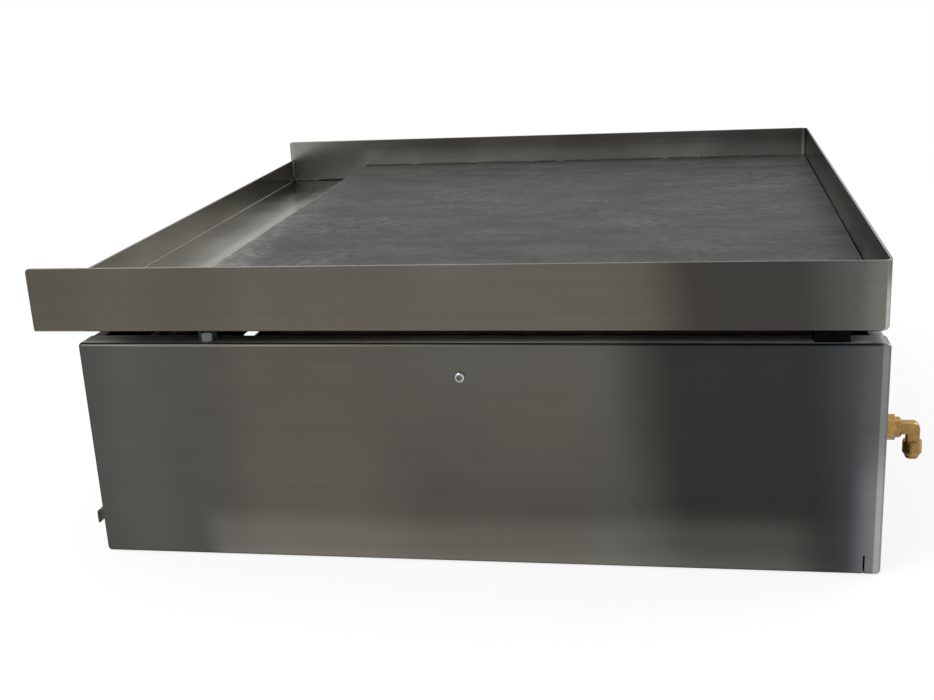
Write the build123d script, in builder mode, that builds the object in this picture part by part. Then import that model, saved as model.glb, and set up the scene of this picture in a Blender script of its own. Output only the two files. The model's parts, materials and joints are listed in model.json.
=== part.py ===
from build123d import *
import os

# Counter-top gas grill with a lift-off griddle, in millimetres.
# X runs to the operator's right, Y away from the operator, Z up from the counter.
# The origin is the middle of the casing's footprint.

os.makedirs("parts", exist_ok=True)

# Casing of folded sheet, open at the top
box_width = 592.0
box_depth = 540.0
box_height = 158.0
sheet = 1.5
fold_inside = 1.5
side_flange = 19.0
end_flange = 10.0
slit_width = 1.2
slit_height = 14.0
slit_setback = 11.0

# Clearances
fit = 0.3
running = 0.08
press = 0.05
drip_clearance = 2.2
same_place = 0.01

# Griddle: tray, trough and plate
side_overhang = 4.0
front_overhang = 28.0
rear_setback = 2.0
tray_gap = 9.0
tray_wall = 45.0
trough_wall = 24.0
tray_sheet = 1.5
tray_corner = 6.0
wall_nose = 3.0
trough_width = 85.0
plate_thickness = 15.0
plate_rear_gap = 1.0
plate_edge = 0.5
plate_ledge = 28.0

# Levelling studs, nuts and rear rests
stud_radius = 3.0
stud_length = 22.0
stud_inset = 8.5
stud_setback = 93.0
stud_weld = 2.0
stud_weld_radius = 4.6
nut_flats = 11.0
nut_height = 6.6
nut_chamfer = 0.7
nut_turn = 13.0
rest_length = 22.0
rest_width = 12.0
rest_setback = 35.5

# Drip tray and runners
drip_height = 17.3
drip_side_gap = 1.5
drip_rear_gap = 5.0
lip_reach = 16.5
lip_drop = 10.6
runner_width = 22.0
lap_width = 26.0
runner_height = 14.0

# Cross brace, rails and grates
brace_offset = -2.0
brace_drop = 23.0
brace_height = 12.0
brace_width = 20.0
ledge_width = 12.0
tamer_rail_height = 9.0
grate_rail_height = 20.0
grate_rail_width = 17.0
rail_setback = 32.0
grate_rod = 3.5
grate_bar = 3.0
grate_weld = 1.0
rod_pitch = 19.0
grate_split = 4.0
grate_side_gap = 6.0
grate_end_gap = 1.0
bar_margin = 10.0
screw_radius = 2.4
screw_head_radius = 3.5
screw_head_height = 2.2
screw_length = 10.0
screw_recess = 1.0
screw_cross = 4.0
screw_round = 1.3

# Burners and flame tamers
burner_count = 3
burner_radius = 16.0
burner_wall = 1.5
venturi_radius = 12.0
venturi_reach = 23.0
venturi_inside = 8.0
cone_length = 25.0
tail_gap = 13.0
pin_radius = 3.0
pin_reach = 4.0
port_radius = 1.5
port_pitch = 18.0
port_rise = 5.0
air_window_length = 9.0
air_window_height = 11.0
air_window_rim = 4.0
tamer_half_width = 50.0
tamer_height = 22.0
tamer_sheet = 1.5
tamer_headroom = 11.0

# Gas train
knob_drop = 46.0
valve_gap = 5.0
valve_neck_length = 7.0
valve_neck_radius = 8.5
valve_body_length = 27.0
valve_body_radius = 11.0
valve_outlet_length = 6.0
valve_outlet_radius = 6.0
valve_inlet_rise = 14.0
valve_inlet_radius = 7.0
gas_bore = 2.5
low_port = 0.8
plug_radius = 6.0
plug_length = 24.0
plug_recess = 1.0
socket_depth = 15.0
stem_radius = 4.0
stem_flat = 2.5
stem_hole = 5.5
manifold_radius = 8.0
manifold_wall = 2.0
manifold_end = 18.0
stub_radius = 6.0
stub_length = 4.0
bracket_sheet = 2.0
bracket_margin = 5.0
bracket_shift = 30.0
bracket_foot = 14.0
feed_radius = 4.0
feed_wall = 1.0
feed_run = 18.0
feed_bend = 11.0
injector_radius = 5.0
injector_length = 14.0
injector_nose = 8.0
injector_nose_radius = 2.5
injector_overlap = 7.0
injector_orifice = 0.8

# Gas inlet and supply pipe
inlet_inset = 48.0
inlet_drop = 72.5
supply_radius = 5.0
supply_wall = 1.0
supply_bend = 20.0
union_flats = 15.0
union_turn = 15.0
union_length = 13.1
union_collar_radius = 7.0
union_collar_length = 3.8
union_taper = 1.0
tail_radius = 6.2
tail_length = 15.0
lock_nut_flats = 18.0
lock_nut_length = 6.0
elbow_reach = 24.9
elbow_half = 4.3
elbow_bevel = 1.9
elbow_round = 4.5
elbow_drop = 9.2
thread_radius = 6.35
thread_length = 9.0
thread_lead = 0.6
flare_length = 3.0
flare_end_radius = 4.0
inlet_bore = 3.2

# Knobs and igniter
push_travel = 4.0
push_spare = 1.0
bezel_radius = 27.0
bezel_sheet = 1.5
knob_radius = 21.0
knob_disc = 10.0
knob_grip = 15.0
grip_length = 36.0
grip_width = 13.0
knob_socket = 17.0
knob_round = 1.5
pointer_width = 2.0
pointer_length = 12.0
pointer_depth = 0.6
pointer_margin = 3.0
igniter_radius = 8.75
igniter_flange_radius = 12.0
igniter_flange = 2.0
igniter_length = 52.0
igniter_bore_depth = 16.0
button_radius = 6.0
button_length = 14.0
button_proud = 6.0
terminal_radius = 2.0
terminal_length = 8.0
ring_nut_flats = 24.0
ring_nut_length = 4.0
electrode_radius = 3.0
electrode_tip_radius = 1.0
electrode_side = 12.0
electrode_front = 22.0
electrode_back = 20.0
electrode_tip = 20.0

# Slots
slot_bottom = 61.5
slot_height = 9.7
slot_count = 4
slot_bridge = 24.0
slot_margin = 12.0
slot_round = 3.0
vent_height = 8.0
vent_bottom = 32.0

# Places worked out from the sizes above
half_width = box_width / 2
half_depth = box_depth / 2
fold_outside = fold_inside + sheet
wall_inside = half_width - sheet
flange_edge = half_width - side_flange
panel_face = half_depth - sheet
panel_back = panel_face - sheet
panel_half = wall_inside - fold_inside - fit
panel_middle = flange_edge - fit
base_top = 2 * sheet

drip_floor = base_top + sheet
drip_top = drip_floor + drip_height
sill = drip_top + drip_clearance
drip_half = flange_edge - drip_side_gap

brace_z = box_height - brace_drop
grate_seat = brace_z + brace_height / 2
tamer_seat = grate_seat - brace_height - tamer_headroom - tamer_height
burner_z = (sill + tamer_seat) / 2
knob_z = box_height - knob_drop
inlet_z = box_height - inlet_drop

burner_pitch = 2 * wall_inside / burner_count
burner_x = {"left": -burner_pitch, "middle": 0.0, "right": burner_pitch}
slot_span = 2 * (flange_edge - slot_margin)
slot_pitch = (slot_span + slot_bridge) / slot_count
slot_length = slot_pitch - slot_bridge
slot_x = [(i - (slot_count - 1) / 2) * slot_pitch for i in range(slot_count)]
pipe_x = half_width - inlet_inset
igniter_x = -burner_pitch / 2
electrode_x = -burner_radius - electrode_side

valve_front = -panel_back + valve_gap
valve_body_front = valve_front + valve_neck_length
valve_body_back = valve_body_front + valve_body_length
valve_outlet = valve_body_back + valve_outlet_length
plug_front = valve_front + plug_recess
plug_bore_end = plug_front + plug_length + plug_recess
manifold_y = (valve_body_front + valve_body_back) / 2
stub_z = knob_z + valve_inlet_rise
manifold_z = stub_z + stub_length + manifold_radius
feed_corner = valve_outlet + feed_run
feed_end = feed_corner + feed_run
injector_front = feed_end + injector_length
injector_tip = injector_front + injector_nose
burner_mouth = injector_tip - injector_overlap
firewall_y = burner_mouth + venturi_reach
firewall_back = firewall_y + sheet
throat_end = firewall_back + venturi_inside
cone_end = throat_end + cone_length
rail_y = panel_back - rail_setback
burner_tail = rail_y - tail_gap

bezel_face = panel_face + bezel_sheet
knob_back = -(bezel_face + push_travel + push_spare)
grip_front = knob_back - knob_disc - knob_grip
stem_front = knob_back - knob_socket
socket_end = plug_front + socket_depth
stem_back = socket_end - push_travel - push_spare

tray_half = half_width + side_overhang
tray_front = -half_depth - front_overhang
tray_rear = half_depth - rear_setback
tray_depth = tray_rear - tray_front
tray_bottom = box_height + tray_gap
tray_floor = tray_bottom + tray_sheet
tray_inner_half = tray_half - tray_sheet
plate_half = tray_inner_half - fold_inside - fit
plate_front = tray_front + trough_width
plate_rear = tray_rear - tray_sheet - plate_rear_gap
stud_x = half_width - stud_inset
stud_y = -half_depth + stud_setback
rest_y = half_depth - rest_setback
sides = {"left": -1, "right": 1}
on_floor = (Align.CENTER, Align.CENTER, Align.MIN)


def save(builder, name):
    """Labels a finished piece and writes it."""
    builder.part.label = name
    export_step(builder.part, f"parts/{name}.step")


def upright(y):
    """Plane across the box at depth y, facing the operator; its x is X and its y is Z."""
    return Plane.XZ.offset(-y)


def turning_profile(x, z, outline):
    """Face of (y, radius) points, to be turned about the line along Y through (x, z)."""
    with BuildSketch(Plane(origin=(x, 0, z), x_dir=(0, 1, 0), z_dir=(1, 0, 0))) as profile:
        with BuildLine():
            Polyline(*outline, close=True)
        make_face()
    return profile.sketch


def y_axis(x, z):
    """Line along Y through (x, z)."""
    return Axis((x, 0, z), (0, 1, 0))


def d_section(plane, x, z, radius, flat):
    """Round section with one flat on its upper side, as on a valve stem."""
    with BuildSketch(plane) as section:
        with Locations((x, z)):
            Circle(radius)
        with Locations((x, z + flat + radius)):
            Rectangle(2 * radius, 2 * radius, mode=Mode.SUBTRACT)
    return section.sketch


def fold_edges(builder, y, z):
    """Edges along X that pass through (y, z)."""
    along_x = builder.edges().filter_by(Axis.X)
    return [e for e in along_x if abs(e.center().Y - y) < same_place and abs(e.center().Z - z) < same_place]


# Casing panels

for side, sign in sides.items():
    with BuildPart() as side_panel:
        with Locations((sign * (half_width + flange_edge) / 2, 0, box_height / 2)):
            Box(side_flange, box_depth, box_height)
        folds = [e for e in side_panel.edges() if abs(abs(e.center().X) - flange_edge) > same_place]
        fillet(folds, fold_outside)
        opening = side_panel.faces().sort_by(Axis.X)[0 if sign > 0 else -1]
        offset(amount=-sheet, openings=opening)
        with Locations((sign * stud_x, stud_y, box_height)):
            Hole(stud_radius + 2 * fit, depth=2 * sheet)
        with Locations(Plane((sign * half_width, brace_offset, brace_z), z_dir=(sign, 0, 0))):
            Hole(screw_radius + press, depth=2 * sheet)
        # relief slit beside the rear fold, through the foot fold
        with BuildSketch(Plane((sign * half_width, half_depth - slit_setback, 0), (0, 1, 0), (sign, 0, 0))):
            Rectangle(slit_width, 2 * slit_height)
        extrude(amount=-fold_outside, mode=Mode.SUBTRACT)
    save(side_panel, f"side_panel_{side}")

with BuildPart() as front_panel:
    ear_top = box_height - sheet - fold_inside - fit
    with BuildSketch(upright(-panel_face)):
        with Locations((0, sill)):
            Rectangle(2 * panel_half, ear_top - sill, align=(Align.CENTER, Align.MIN))
            Rectangle(2 * panel_middle, box_height - sill, align=(Align.CENTER, Align.MIN))
    extrude(amount=-sheet)
    with BuildSketch(upright(-panel_face)):
        with Locations((0, box_height)):
            Rectangle(2 * panel_middle, sheet, align=(Align.CENTER, Align.MAX))
    extrude(amount=-end_flange)
    fillet(fold_edges(front_panel, -panel_face, box_height), fold_outside)
    fillet(fold_edges(front_panel, -panel_back, box_height - sheet), fold_inside)
    with BuildSketch(upright(-panel_face)):
        with Locations([(x, slot_bottom + slot_height / 2) for x in slot_x]):
            RectangleRounded(slot_length, slot_height, slot_round)
        with Locations([(x, knob_z) for x in burner_x.values()]):
            Circle(stem_hole)
        with Locations((igniter_x, knob_z)):
            Circle(igniter_radius + fit)
    extrude(amount=-sheet, mode=Mode.SUBTRACT)
save(front_panel, "front_panel")

with BuildPart() as rear_panel:
    rear_bottom = base_top + fit
    with BuildSketch(upright(panel_back)):
        with Locations((0, rear_bottom)):
            Rectangle(2 * panel_half, ear_top - rear_bottom, align=(Align.CENTER, Align.MIN))
            Rectangle(2 * panel_middle, box_height - rear_bottom, align=(Align.CENTER, Align.MIN))
    extrude(amount=-sheet)
    with BuildSketch(upright(panel_face)):
        with Locations((0, box_height)):
            Rectangle(2 * panel_middle, sheet, align=(Align.CENTER, Align.MAX))
    extrude(amount=end_flange)
    fillet(fold_edges(rear_panel, panel_face, box_height), fold_outside)
    fillet(fold_edges(rear_panel, panel_back, box_height - sheet), fold_inside)
    with BuildSketch(upright(panel_back)):
        with Locations([(x, vent_bottom + vent_height / 2) for x in slot_x]):
            RectangleRounded(slot_length, vent_height, slot_round)
        with Locations((pipe_x, inlet_z)):
            Circle(tail_radius + fit)
    extrude(amount=-sheet, mode=Mode.SUBTRACT)
save(rear_panel, "rear_panel")

with BuildPart() as base_panel:
    base_depth = 2 * (panel_back - fit)
    lap_inner = flange_edge - lap_width
    Box(2 * panel_middle, base_depth, sheet, align=on_floor)
    for sign in sides.values():
        with Locations((sign * (panel_half + lap_inner) / 2, 0, sheet)):
            Box(panel_half - lap_inner, base_depth, sheet, align=on_floor)
save(base_panel, "base_panel")

# Cross brace and its screws

with BuildPart() as cross_brace:
    with Locations((0, brace_offset, brace_z)):
        Box(2 * wall_inside, brace_width, brace_height)
    with Locations((0, brace_offset, brace_z - sheet)):
        Box(2 * (wall_inside - sheet), brace_width - 2 * sheet, brace_height, mode=Mode.SUBTRACT)
    for sign in sides.values():
        with Locations(Plane((sign * wall_inside, brace_offset, brace_z), z_dir=(sign, 0, 0))):
            Hole(screw_radius + press, depth=2 * sheet)
save(cross_brace, "cross_brace")

with BuildPart() as brace_screws:
    for sign in sides.values():
        seat = Plane((sign * half_width, brace_offset, brace_z), z_dir=(sign, 0, 0))
        with BuildSketch(seat):
            Circle(screw_radius)
        extrude(amount=-screw_length)
        with BuildSketch(seat):
            Circle(screw_head_radius)
        extrude(amount=screw_head_height)
        rim = brace_screws.edges().filter_by(GeomType.CIRCLE).sort_by(Axis.X)[-1 if sign > 0 else 0]
        fillet(rim, screw_round)
        with BuildSketch(seat.offset(screw_head_height)):
            Rectangle(screw_cross, screw_recess)
            Rectangle(screw_recess, screw_cross)
        extrude(amount=-screw_recess, mode=Mode.SUBTRACT)
save(brace_screws, "brace_screws")

# Firewall and rails

with BuildPart() as firewall:
    with BuildSketch(upright(firewall_y)):
        with Locations((0, sill)):
            Rectangle(2 * wall_inside, grate_seat - sill, align=(Align.CENTER, Align.MIN))
    extrude(amount=-sheet)
    with BuildSketch(upright(firewall_y)):
        with Locations((0, grate_seat)):
            Rectangle(2 * wall_inside, sheet, align=(Align.CENTER, Align.MAX))
    extrude(amount=-(sheet + ledge_width))
    fillet(fold_edges(firewall, firewall_y, grate_seat), fold_outside)
    fillet(fold_edges(firewall, firewall_back, grate_seat - sheet), fold_inside)
    with BuildSketch(upright(firewall_y)):
        with Locations([(x, burner_z) for x in burner_x.values()]):
            Circle(venturi_radius + fit)
        with Locations((pipe_x, inlet_z)):
            Circle(supply_radius + fit)
        with Locations((electrode_x, burner_z)):
            Circle(electrode_radius + fit)
    extrude(amount=-sheet, mode=Mode.SUBTRACT)
save(firewall, "firewall")

with BuildPart() as tamer_rail_front:
    with BuildSketch(upright(firewall_back)):
        with Locations((0, tamer_seat)):
            Rectangle(2 * panel_half, tamer_rail_height, align=(Align.CENTER, Align.MAX))
    extrude(amount=-sheet)
    with BuildSketch(upright(firewall_back)):
        with Locations((0, tamer_seat)):
            Rectangle(2 * panel_half, sheet, align=(Align.CENTER, Align.MAX))
    extrude(amount=-ledge_width)
    fillet(fold_edges(tamer_rail_front, firewall_back + sheet, tamer_seat - sheet), fold_inside)
    with BuildSketch(upright(firewall_back)):
        with Locations((pipe_x, inlet_z)):
            Circle(supply_radius + fit)
    extrude(amount=-sheet, mode=Mode.SUBTRACT)
save(tamer_rail_front, "tamer_rail_front")

with BuildPart() as burner_rail_rear:
    with BuildSketch(upright(rail_y)):
        with Locations((0, sill)):
            Rectangle(2 * wall_inside, tamer_seat - sill, align=(Align.CENTER, Align.MIN))
    extrude(amount=-sheet)
    with BuildSketch(upright(rail_y + sheet)):
        with Locations((0, tamer_seat)):
            Rectangle(2 * wall_inside, sheet, align=(Align.CENTER, Align.MAX))
    extrude(amount=sheet + ledge_width)
    fillet(fold_edges(burner_rail_rear, rail_y + sheet, tamer_seat), fold_outside)
    fillet(fold_edges(burner_rail_rear, rail_y, tamer_seat - sheet), fold_inside)
    with BuildSketch(upright(rail_y)):
        with Locations([(x, burner_z) for x in burner_x.values()]):
            Circle(pin_radius + fit)
        with Locations((pipe_x, inlet_z)):
            Circle(supply_radius + fit)
    extrude(amount=-sheet, mode=Mode.SUBTRACT)
save(burner_rail_rear, "burner_rail_rear")

with BuildPart() as grate_rail_rear:
    with BuildSketch(upright(panel_back)):
        with Locations((0, grate_seat)):
            Rectangle(2 * panel_middle, grate_rail_height, align=(Align.CENTER, Align.MAX))
    extrude(amount=sheet)
    with BuildSketch(upright(panel_back)):
        with Locations((0, grate_seat)):
            Rectangle(2 * panel_middle, sheet, align=(Align.CENTER, Align.MAX))
    extrude(amount=grate_rail_width)
    fillet(fold_edges(grate_rail_rear, panel_back - sheet, grate_seat - sheet), fold_inside)
save(grate_rail_rear, "grate_rail_rear")

# Cooking grates of welded rod

for side, sign in sides.items():
    inner_x = grate_split / 2 + grate_rod
    outer_x = flange_edge - grate_side_gap - grate_rod
    rods = int((outer_x - inner_x) // rod_pitch) + 1
    step = (outer_x - inner_x) / (rods - 1)
    rod_front = firewall_back + grate_end_gap
    rod_rear = panel_back - sheet - grate_end_gap - end_flange
    rod_z = grate_seat + fit + grate_rod
    bar_z = rod_z - grate_rod - grate_bar + grate_weld
    brace_side = brace_width / 2 + bar_margin
    bar_places = [
        firewall_back + ledge_width + bar_margin,
        brace_offset - brace_side,
        brace_offset + brace_side,
        panel_back - grate_rail_width - bar_margin,
    ]
    with BuildPart() as grate:
        with BuildSketch(upright(rod_rear)):
            with Locations([(sign * (inner_x + i * step), rod_z) for i in range(rods)]):
                Circle(grate_rod)
        extrude(amount=rod_rear - rod_front)
        with BuildSketch(Plane.YZ.offset(sign * inner_x)):
            with Locations([(y, bar_z) for y in bar_places]):
                Circle(grate_bar)
        extrude(amount=sign * (outer_x - inner_x))
    save(grate, f"grate_{side}")

# Drip tray and its runners

with BuildPart() as drip_tray:
    drip_rear = panel_back - drip_rear_gap
    drip_middle = (drip_rear - half_depth) / 2
    with Locations((0, drip_middle, drip_floor)):
        Box(2 * drip_half, drip_rear + half_depth, drip_height, align=on_floor)
    folds = [e for e in drip_tray.edges() if e.center().Z < drip_top - same_place]
    fillet(folds, fold_outside)
    offset(amount=-sheet, openings=drip_tray.faces().sort_by(Axis.Z)[-1])
    lip_front = -half_depth - lip_reach
    with BuildSketch(upright(-half_depth + sheet)):
        with Locations((0, drip_top)):
            Rectangle(2 * (drip_half - fold_outside), sheet, align=(Align.CENTER, Align.MAX))
    extrude(amount=sheet + lip_reach)
    with BuildSketch(upright(lip_front)):
        with Locations((0, drip_top)):
            Rectangle(2 * (drip_half - fold_outside), lip_drop, align=(Align.CENTER, Align.MAX))
    extrude(amount=-sheet)
    fillet(fold_edges(drip_tray, lip_front, drip_top), fold_outside)
    fillet(fold_edges(drip_tray, lip_front + sheet, drip_top - sheet), fold_inside)
save(drip_tray, "drip_tray")

for side, sign in sides.items():
    with BuildPart() as runner:
        with Locations((sign * (flange_edge + sheet - runner_width / 2), 0, base_top)):
            Box(runner_width, 2 * drip_rear, sheet, align=on_floor)
        with Locations((sign * (flange_edge + sheet / 2), 0, base_top)):
            Box(sheet, 2 * drip_rear, runner_height, align=on_floor)
    save(runner, f"runner_{side}")

# Manifold and brackets

with BuildPart() as gas_manifold:
    left_end = -burner_pitch - manifold_end
    right_end = pipe_x + manifold_end
    with BuildSketch(Plane.YZ.offset(left_end)):
        with Locations((manifold_y, manifold_z)):
            Circle(manifold_radius)
    extrude(amount=right_end - left_end)
    stub_places = [(x, manifold_y) for x in [*burner_x.values(), pipe_x]]
    with BuildSketch(Plane.XY.offset(stub_z)):
        with Locations(stub_places):
            Circle(stub_radius)
    extrude(amount=manifold_z - stub_z)
    with BuildSketch(Plane.YZ.offset(left_end + manifold_wall)):
        with Locations((manifold_y, manifold_z)):
            Circle(manifold_radius - manifold_wall)
    extrude(amount=right_end - left_end - 2 * manifold_wall, mode=Mode.SUBTRACT)
    with BuildSketch(Plane.XY.offset(stub_z)):
        with Locations(stub_places):
            Circle(gas_bore)
    extrude(amount=manifold_z - stub_z, mode=Mode.SUBTRACT)
save(gas_manifold, "gas_manifold")

with BuildPart() as manifold_brackets:
    bracket_back = manifold_y + manifold_radius + bracket_margin
    bracket_half = manifold_radius + bracket_margin
    bracket_x = burner_pitch / 2 + bracket_shift
    for x in (-bracket_x, bracket_x):
        with BuildSketch(Plane.YZ.offset(x)):
            with Locations((-panel_back, manifold_z)):
                Rectangle(bracket_back + panel_back, 2 * bracket_half, align=(Align.MIN, Align.CENTER))
            with Locations((manifold_y, manifold_z)):
                Circle(manifold_radius + press, mode=Mode.SUBTRACT)
        extrude(amount=bracket_sheet)
        with BuildSketch(upright(-panel_back)):
            with Locations((x, manifold_z)):
                Rectangle(bracket_foot, 2 * bracket_half, align=(Align.MIN, Align.CENTER))
        extrude(amount=-bracket_sheet)
save(manifold_brackets, "manifold_brackets")

# Valves, stems, knobs and bezels

bore = plug_radius + running
for name, x in burner_x.items():
    with BuildPart() as valve_body:
        outline = [
            (valve_front, bore),
            (valve_front, valve_neck_radius),
            (valve_body_front, valve_neck_radius),
            (valve_body_front, valve_body_radius),
            (valve_body_back, valve_body_radius),
            (valve_body_back, valve_outlet_radius),
            (valve_outlet, valve_outlet_radius),
            (valve_outlet, gas_bore),
            (plug_bore_end, gas_bore),
            (plug_bore_end, bore),
        ]
        revolve(turning_profile(x, knob_z, outline), axis=y_axis(x, knob_z))
        with BuildSketch(Plane.XY.offset(knob_z + (bore + valve_body_radius) / 2)):
            with Locations((x, manifold_y)):
                Circle(valve_inlet_radius)
        extrude(amount=stub_z - knob_z - (bore + valve_body_radius) / 2)
        with Locations((x, manifold_y, stub_z)):
            Hole(gas_bore, depth=stub_z - knob_z - plug_radius / 2)
    save(valve_body, f"valve_body_{name}")

    with BuildPart() as valve_plug:
        with BuildSketch(upright(plug_front)):
            with Locations((x, knob_z)):
                Circle(plug_radius)
        extrude(amount=-plug_length)
        socket = d_section(upright(plug_front), x, knob_z, stem_radius + running, stem_flat + running)
        extrude(socket, amount=-socket_depth, mode=Mode.SUBTRACT)
        with Locations(Plane((x + plug_radius, manifold_y, knob_z), z_dir=(1, 0, 0))):
            Hole(gas_bore, depth=plug_radius)
        with Locations(Plane((x, manifold_y, knob_z - plug_radius), z_dir=(0, 0, -1))):
            Hole(low_port, depth=plug_radius)
        with BuildSketch(upright(plug_front + plug_length)):
            with Locations((x, knob_z)):
                Circle(gas_bore)
        extrude(amount=plug_front + plug_length - manifold_y, mode=Mode.SUBTRACT)
    save(valve_plug, f"valve_plug_{name}")

    with BuildPart() as valve_stem:
        shaft = d_section(upright(stem_back), x, knob_z, stem_radius, stem_flat)
        extrude(shaft, amount=stem_back - stem_front)
    save(valve_stem, f"valve_stem_{name}")

    with BuildPart() as knob:
        with BuildSketch(upright(knob_back)):
            with Locations((x, knob_z)):
                Circle(knob_radius)
        extrude(amount=knob_disc)
        fillet(knob.edges().filter_by(GeomType.CIRCLE).sort_by(Axis.Y)[0], knob_round)
        with BuildSketch(upright(knob_back - knob_disc)):
            with Locations(Location((x, knob_z), 90)):
                SlotOverall(grip_length, grip_width)
        extrude(amount=knob_grip)
        fillet(knob.faces().sort_by(Axis.Y)[0].edges(), knob_round)
        with BuildSketch(upright(grip_front)):
            with Locations((x, knob_z + grip_length / 2 - pointer_margin)):
                Rectangle(pointer_width, pointer_length, align=(Align.CENTER, Align.MAX))
        extrude(amount=-pointer_depth, mode=Mode.SUBTRACT)
        bore_section = d_section(upright(knob_back), x, knob_z, stem_radius + press, stem_flat + press)
        extrude(bore_section, amount=knob_socket, mode=Mode.SUBTRACT)
    save(knob, f"knob_{name}")

with BuildPart() as knob_bezels:
    with BuildSketch(upright(-panel_face)):
        with Locations([(x, knob_z) for x in burner_x.values()]):
            Circle(bezel_radius)
            Circle(stem_hole, mode=Mode.SUBTRACT)
    extrude(amount=bezel_sheet)
save(knob_bezels, "knob_bezels")

# Feed pipes, injectors, burners and flame tamers

for name, x in burner_x.items():
    with BuildPart() as feed_pipe:
        with BuildLine():
            FilletPolyline(
                (x, valve_outlet, knob_z),
                (x, feed_corner, knob_z),
                (x, feed_corner, burner_z),
                (x, feed_end, burner_z),
                radius=feed_bend,
            )
        with BuildSketch(Plane((x, valve_outlet, knob_z), z_dir=(0, 1, 0))):
            Circle(feed_radius)
            Circle(feed_radius - feed_wall, mode=Mode.SUBTRACT)
        sweep()
    save(feed_pipe, f"feed_pipe_{name}")

    with BuildPart() as injector:
        outline = [
            (feed_end, feed_radius - feed_wall),
            (feed_end, injector_radius),
            (injector_front, injector_radius),
            (injector_tip, injector_nose_radius),
            (injector_tip, injector_orifice),
            (injector_front, injector_orifice),
            (injector_front - injector_orifice, feed_radius - feed_wall),
        ]
        revolve(turning_profile(x, burner_z, outline), axis=y_axis(x, burner_z))
    save(injector, f"injector_{name}")

    with BuildPart() as burner:
        tube = burner_radius - burner_wall
        throat = venturi_radius - burner_wall
        pin_end = rail_y + sheet + pin_reach
        outline = [
            (burner_mouth, throat),
            (burner_mouth, venturi_radius),
            (throat_end, venturi_radius),
            (cone_end, burner_radius),
            (burner_tail, burner_radius),
            (burner_tail, pin_radius),
            (pin_end, pin_radius),
            (pin_end, 0),
            (burner_tail - burner_wall, 0),
            (burner_tail - burner_wall, tube),
            (cone_end, tube),
            (throat_end, throat),
        ]
        revolve(turning_profile(x, burner_z, outline), axis=y_axis(x, burner_z))
        ports = int((burner_tail - cone_end) // port_pitch)
        port_start = (burner_tail + cone_end - (ports - 1) * port_pitch) / 2
        with Locations([(x, port_start + i * port_pitch, burner_z + port_rise) for i in range(ports)]):
            Cylinder(port_radius, 2 * burner_radius, rotation=(0, 90, 0), mode=Mode.SUBTRACT)
        window_y = burner_mouth + air_window_rim + air_window_length / 2
        with Locations((x, window_y, burner_z)):
            Box(2 * burner_radius, air_window_length, air_window_height, mode=Mode.SUBTRACT)
    save(burner, f"burner_{name}")

    with BuildPart() as flame_tamer:
        slope = (tamer_half_width**2 + tamer_height**2) ** 0.5
        foot = tamer_sheet * slope / tamer_height
        crown = tamer_sheet * slope / tamer_half_width
        with BuildSketch(Plane((x, firewall_back + fit, tamer_seat), x_dir=(1, 0, 0), z_dir=(0, -1, 0))):
            with BuildLine():
                Polyline(
                    (-tamer_half_width, 0),
                    (0, tamer_height),
                    (tamer_half_width, 0),
                    (tamer_half_width - foot, 0),
                    (0, tamer_height - crown),
                    (-tamer_half_width + foot, 0),
                    close=True,
                )
            make_face()
        extrude(amount=-(rail_y - firewall_back - 2 * fit))
    save(flame_tamer, f"flame_tamer_{name}")

# Gas inlet and supply pipe

with BuildPart() as inlet_union:
    hex_end = panel_face + union_length
    collar_end = hex_end + union_collar_length
    tail_end = panel_face - tail_length
    with BuildSketch(upright(panel_face)):
        with Locations((pipe_x, inlet_z)):
            RegularPolygon(union_flats / 2, 6, major_radius=False, rotation=30 + union_turn)
    extrude(amount=-union_length)
    outline = [
        (tail_end, 0),
        (tail_end, tail_radius),
        (hex_end, tail_radius),
        (hex_end, union_collar_radius),
        (collar_end - union_taper, union_collar_radius),
        (collar_end, union_collar_radius - union_taper),
        (collar_end, 0),
    ]
    revolve(turning_profile(pipe_x, inlet_z, outline), axis=y_axis(pipe_x, inlet_z))
    with BuildSketch(upright(collar_end)):
        with Locations((pipe_x, inlet_z)):
            Circle(inlet_bore)
    extrude(amount=collar_end - tail_end, mode=Mode.SUBTRACT)
save(inlet_union, "inlet_union")

with BuildPart() as inlet_lock_nut:
    with BuildSketch(upright(panel_back)):
        with Locations((pipe_x, inlet_z)):
            RegularPolygon(lock_nut_flats / 2, 6, major_radius=False)
            Circle(tail_radius + press, mode=Mode.SUBTRACT)
    extrude(amount=lock_nut_length)
save(inlet_lock_nut, "inlet_lock_nut")

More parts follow.
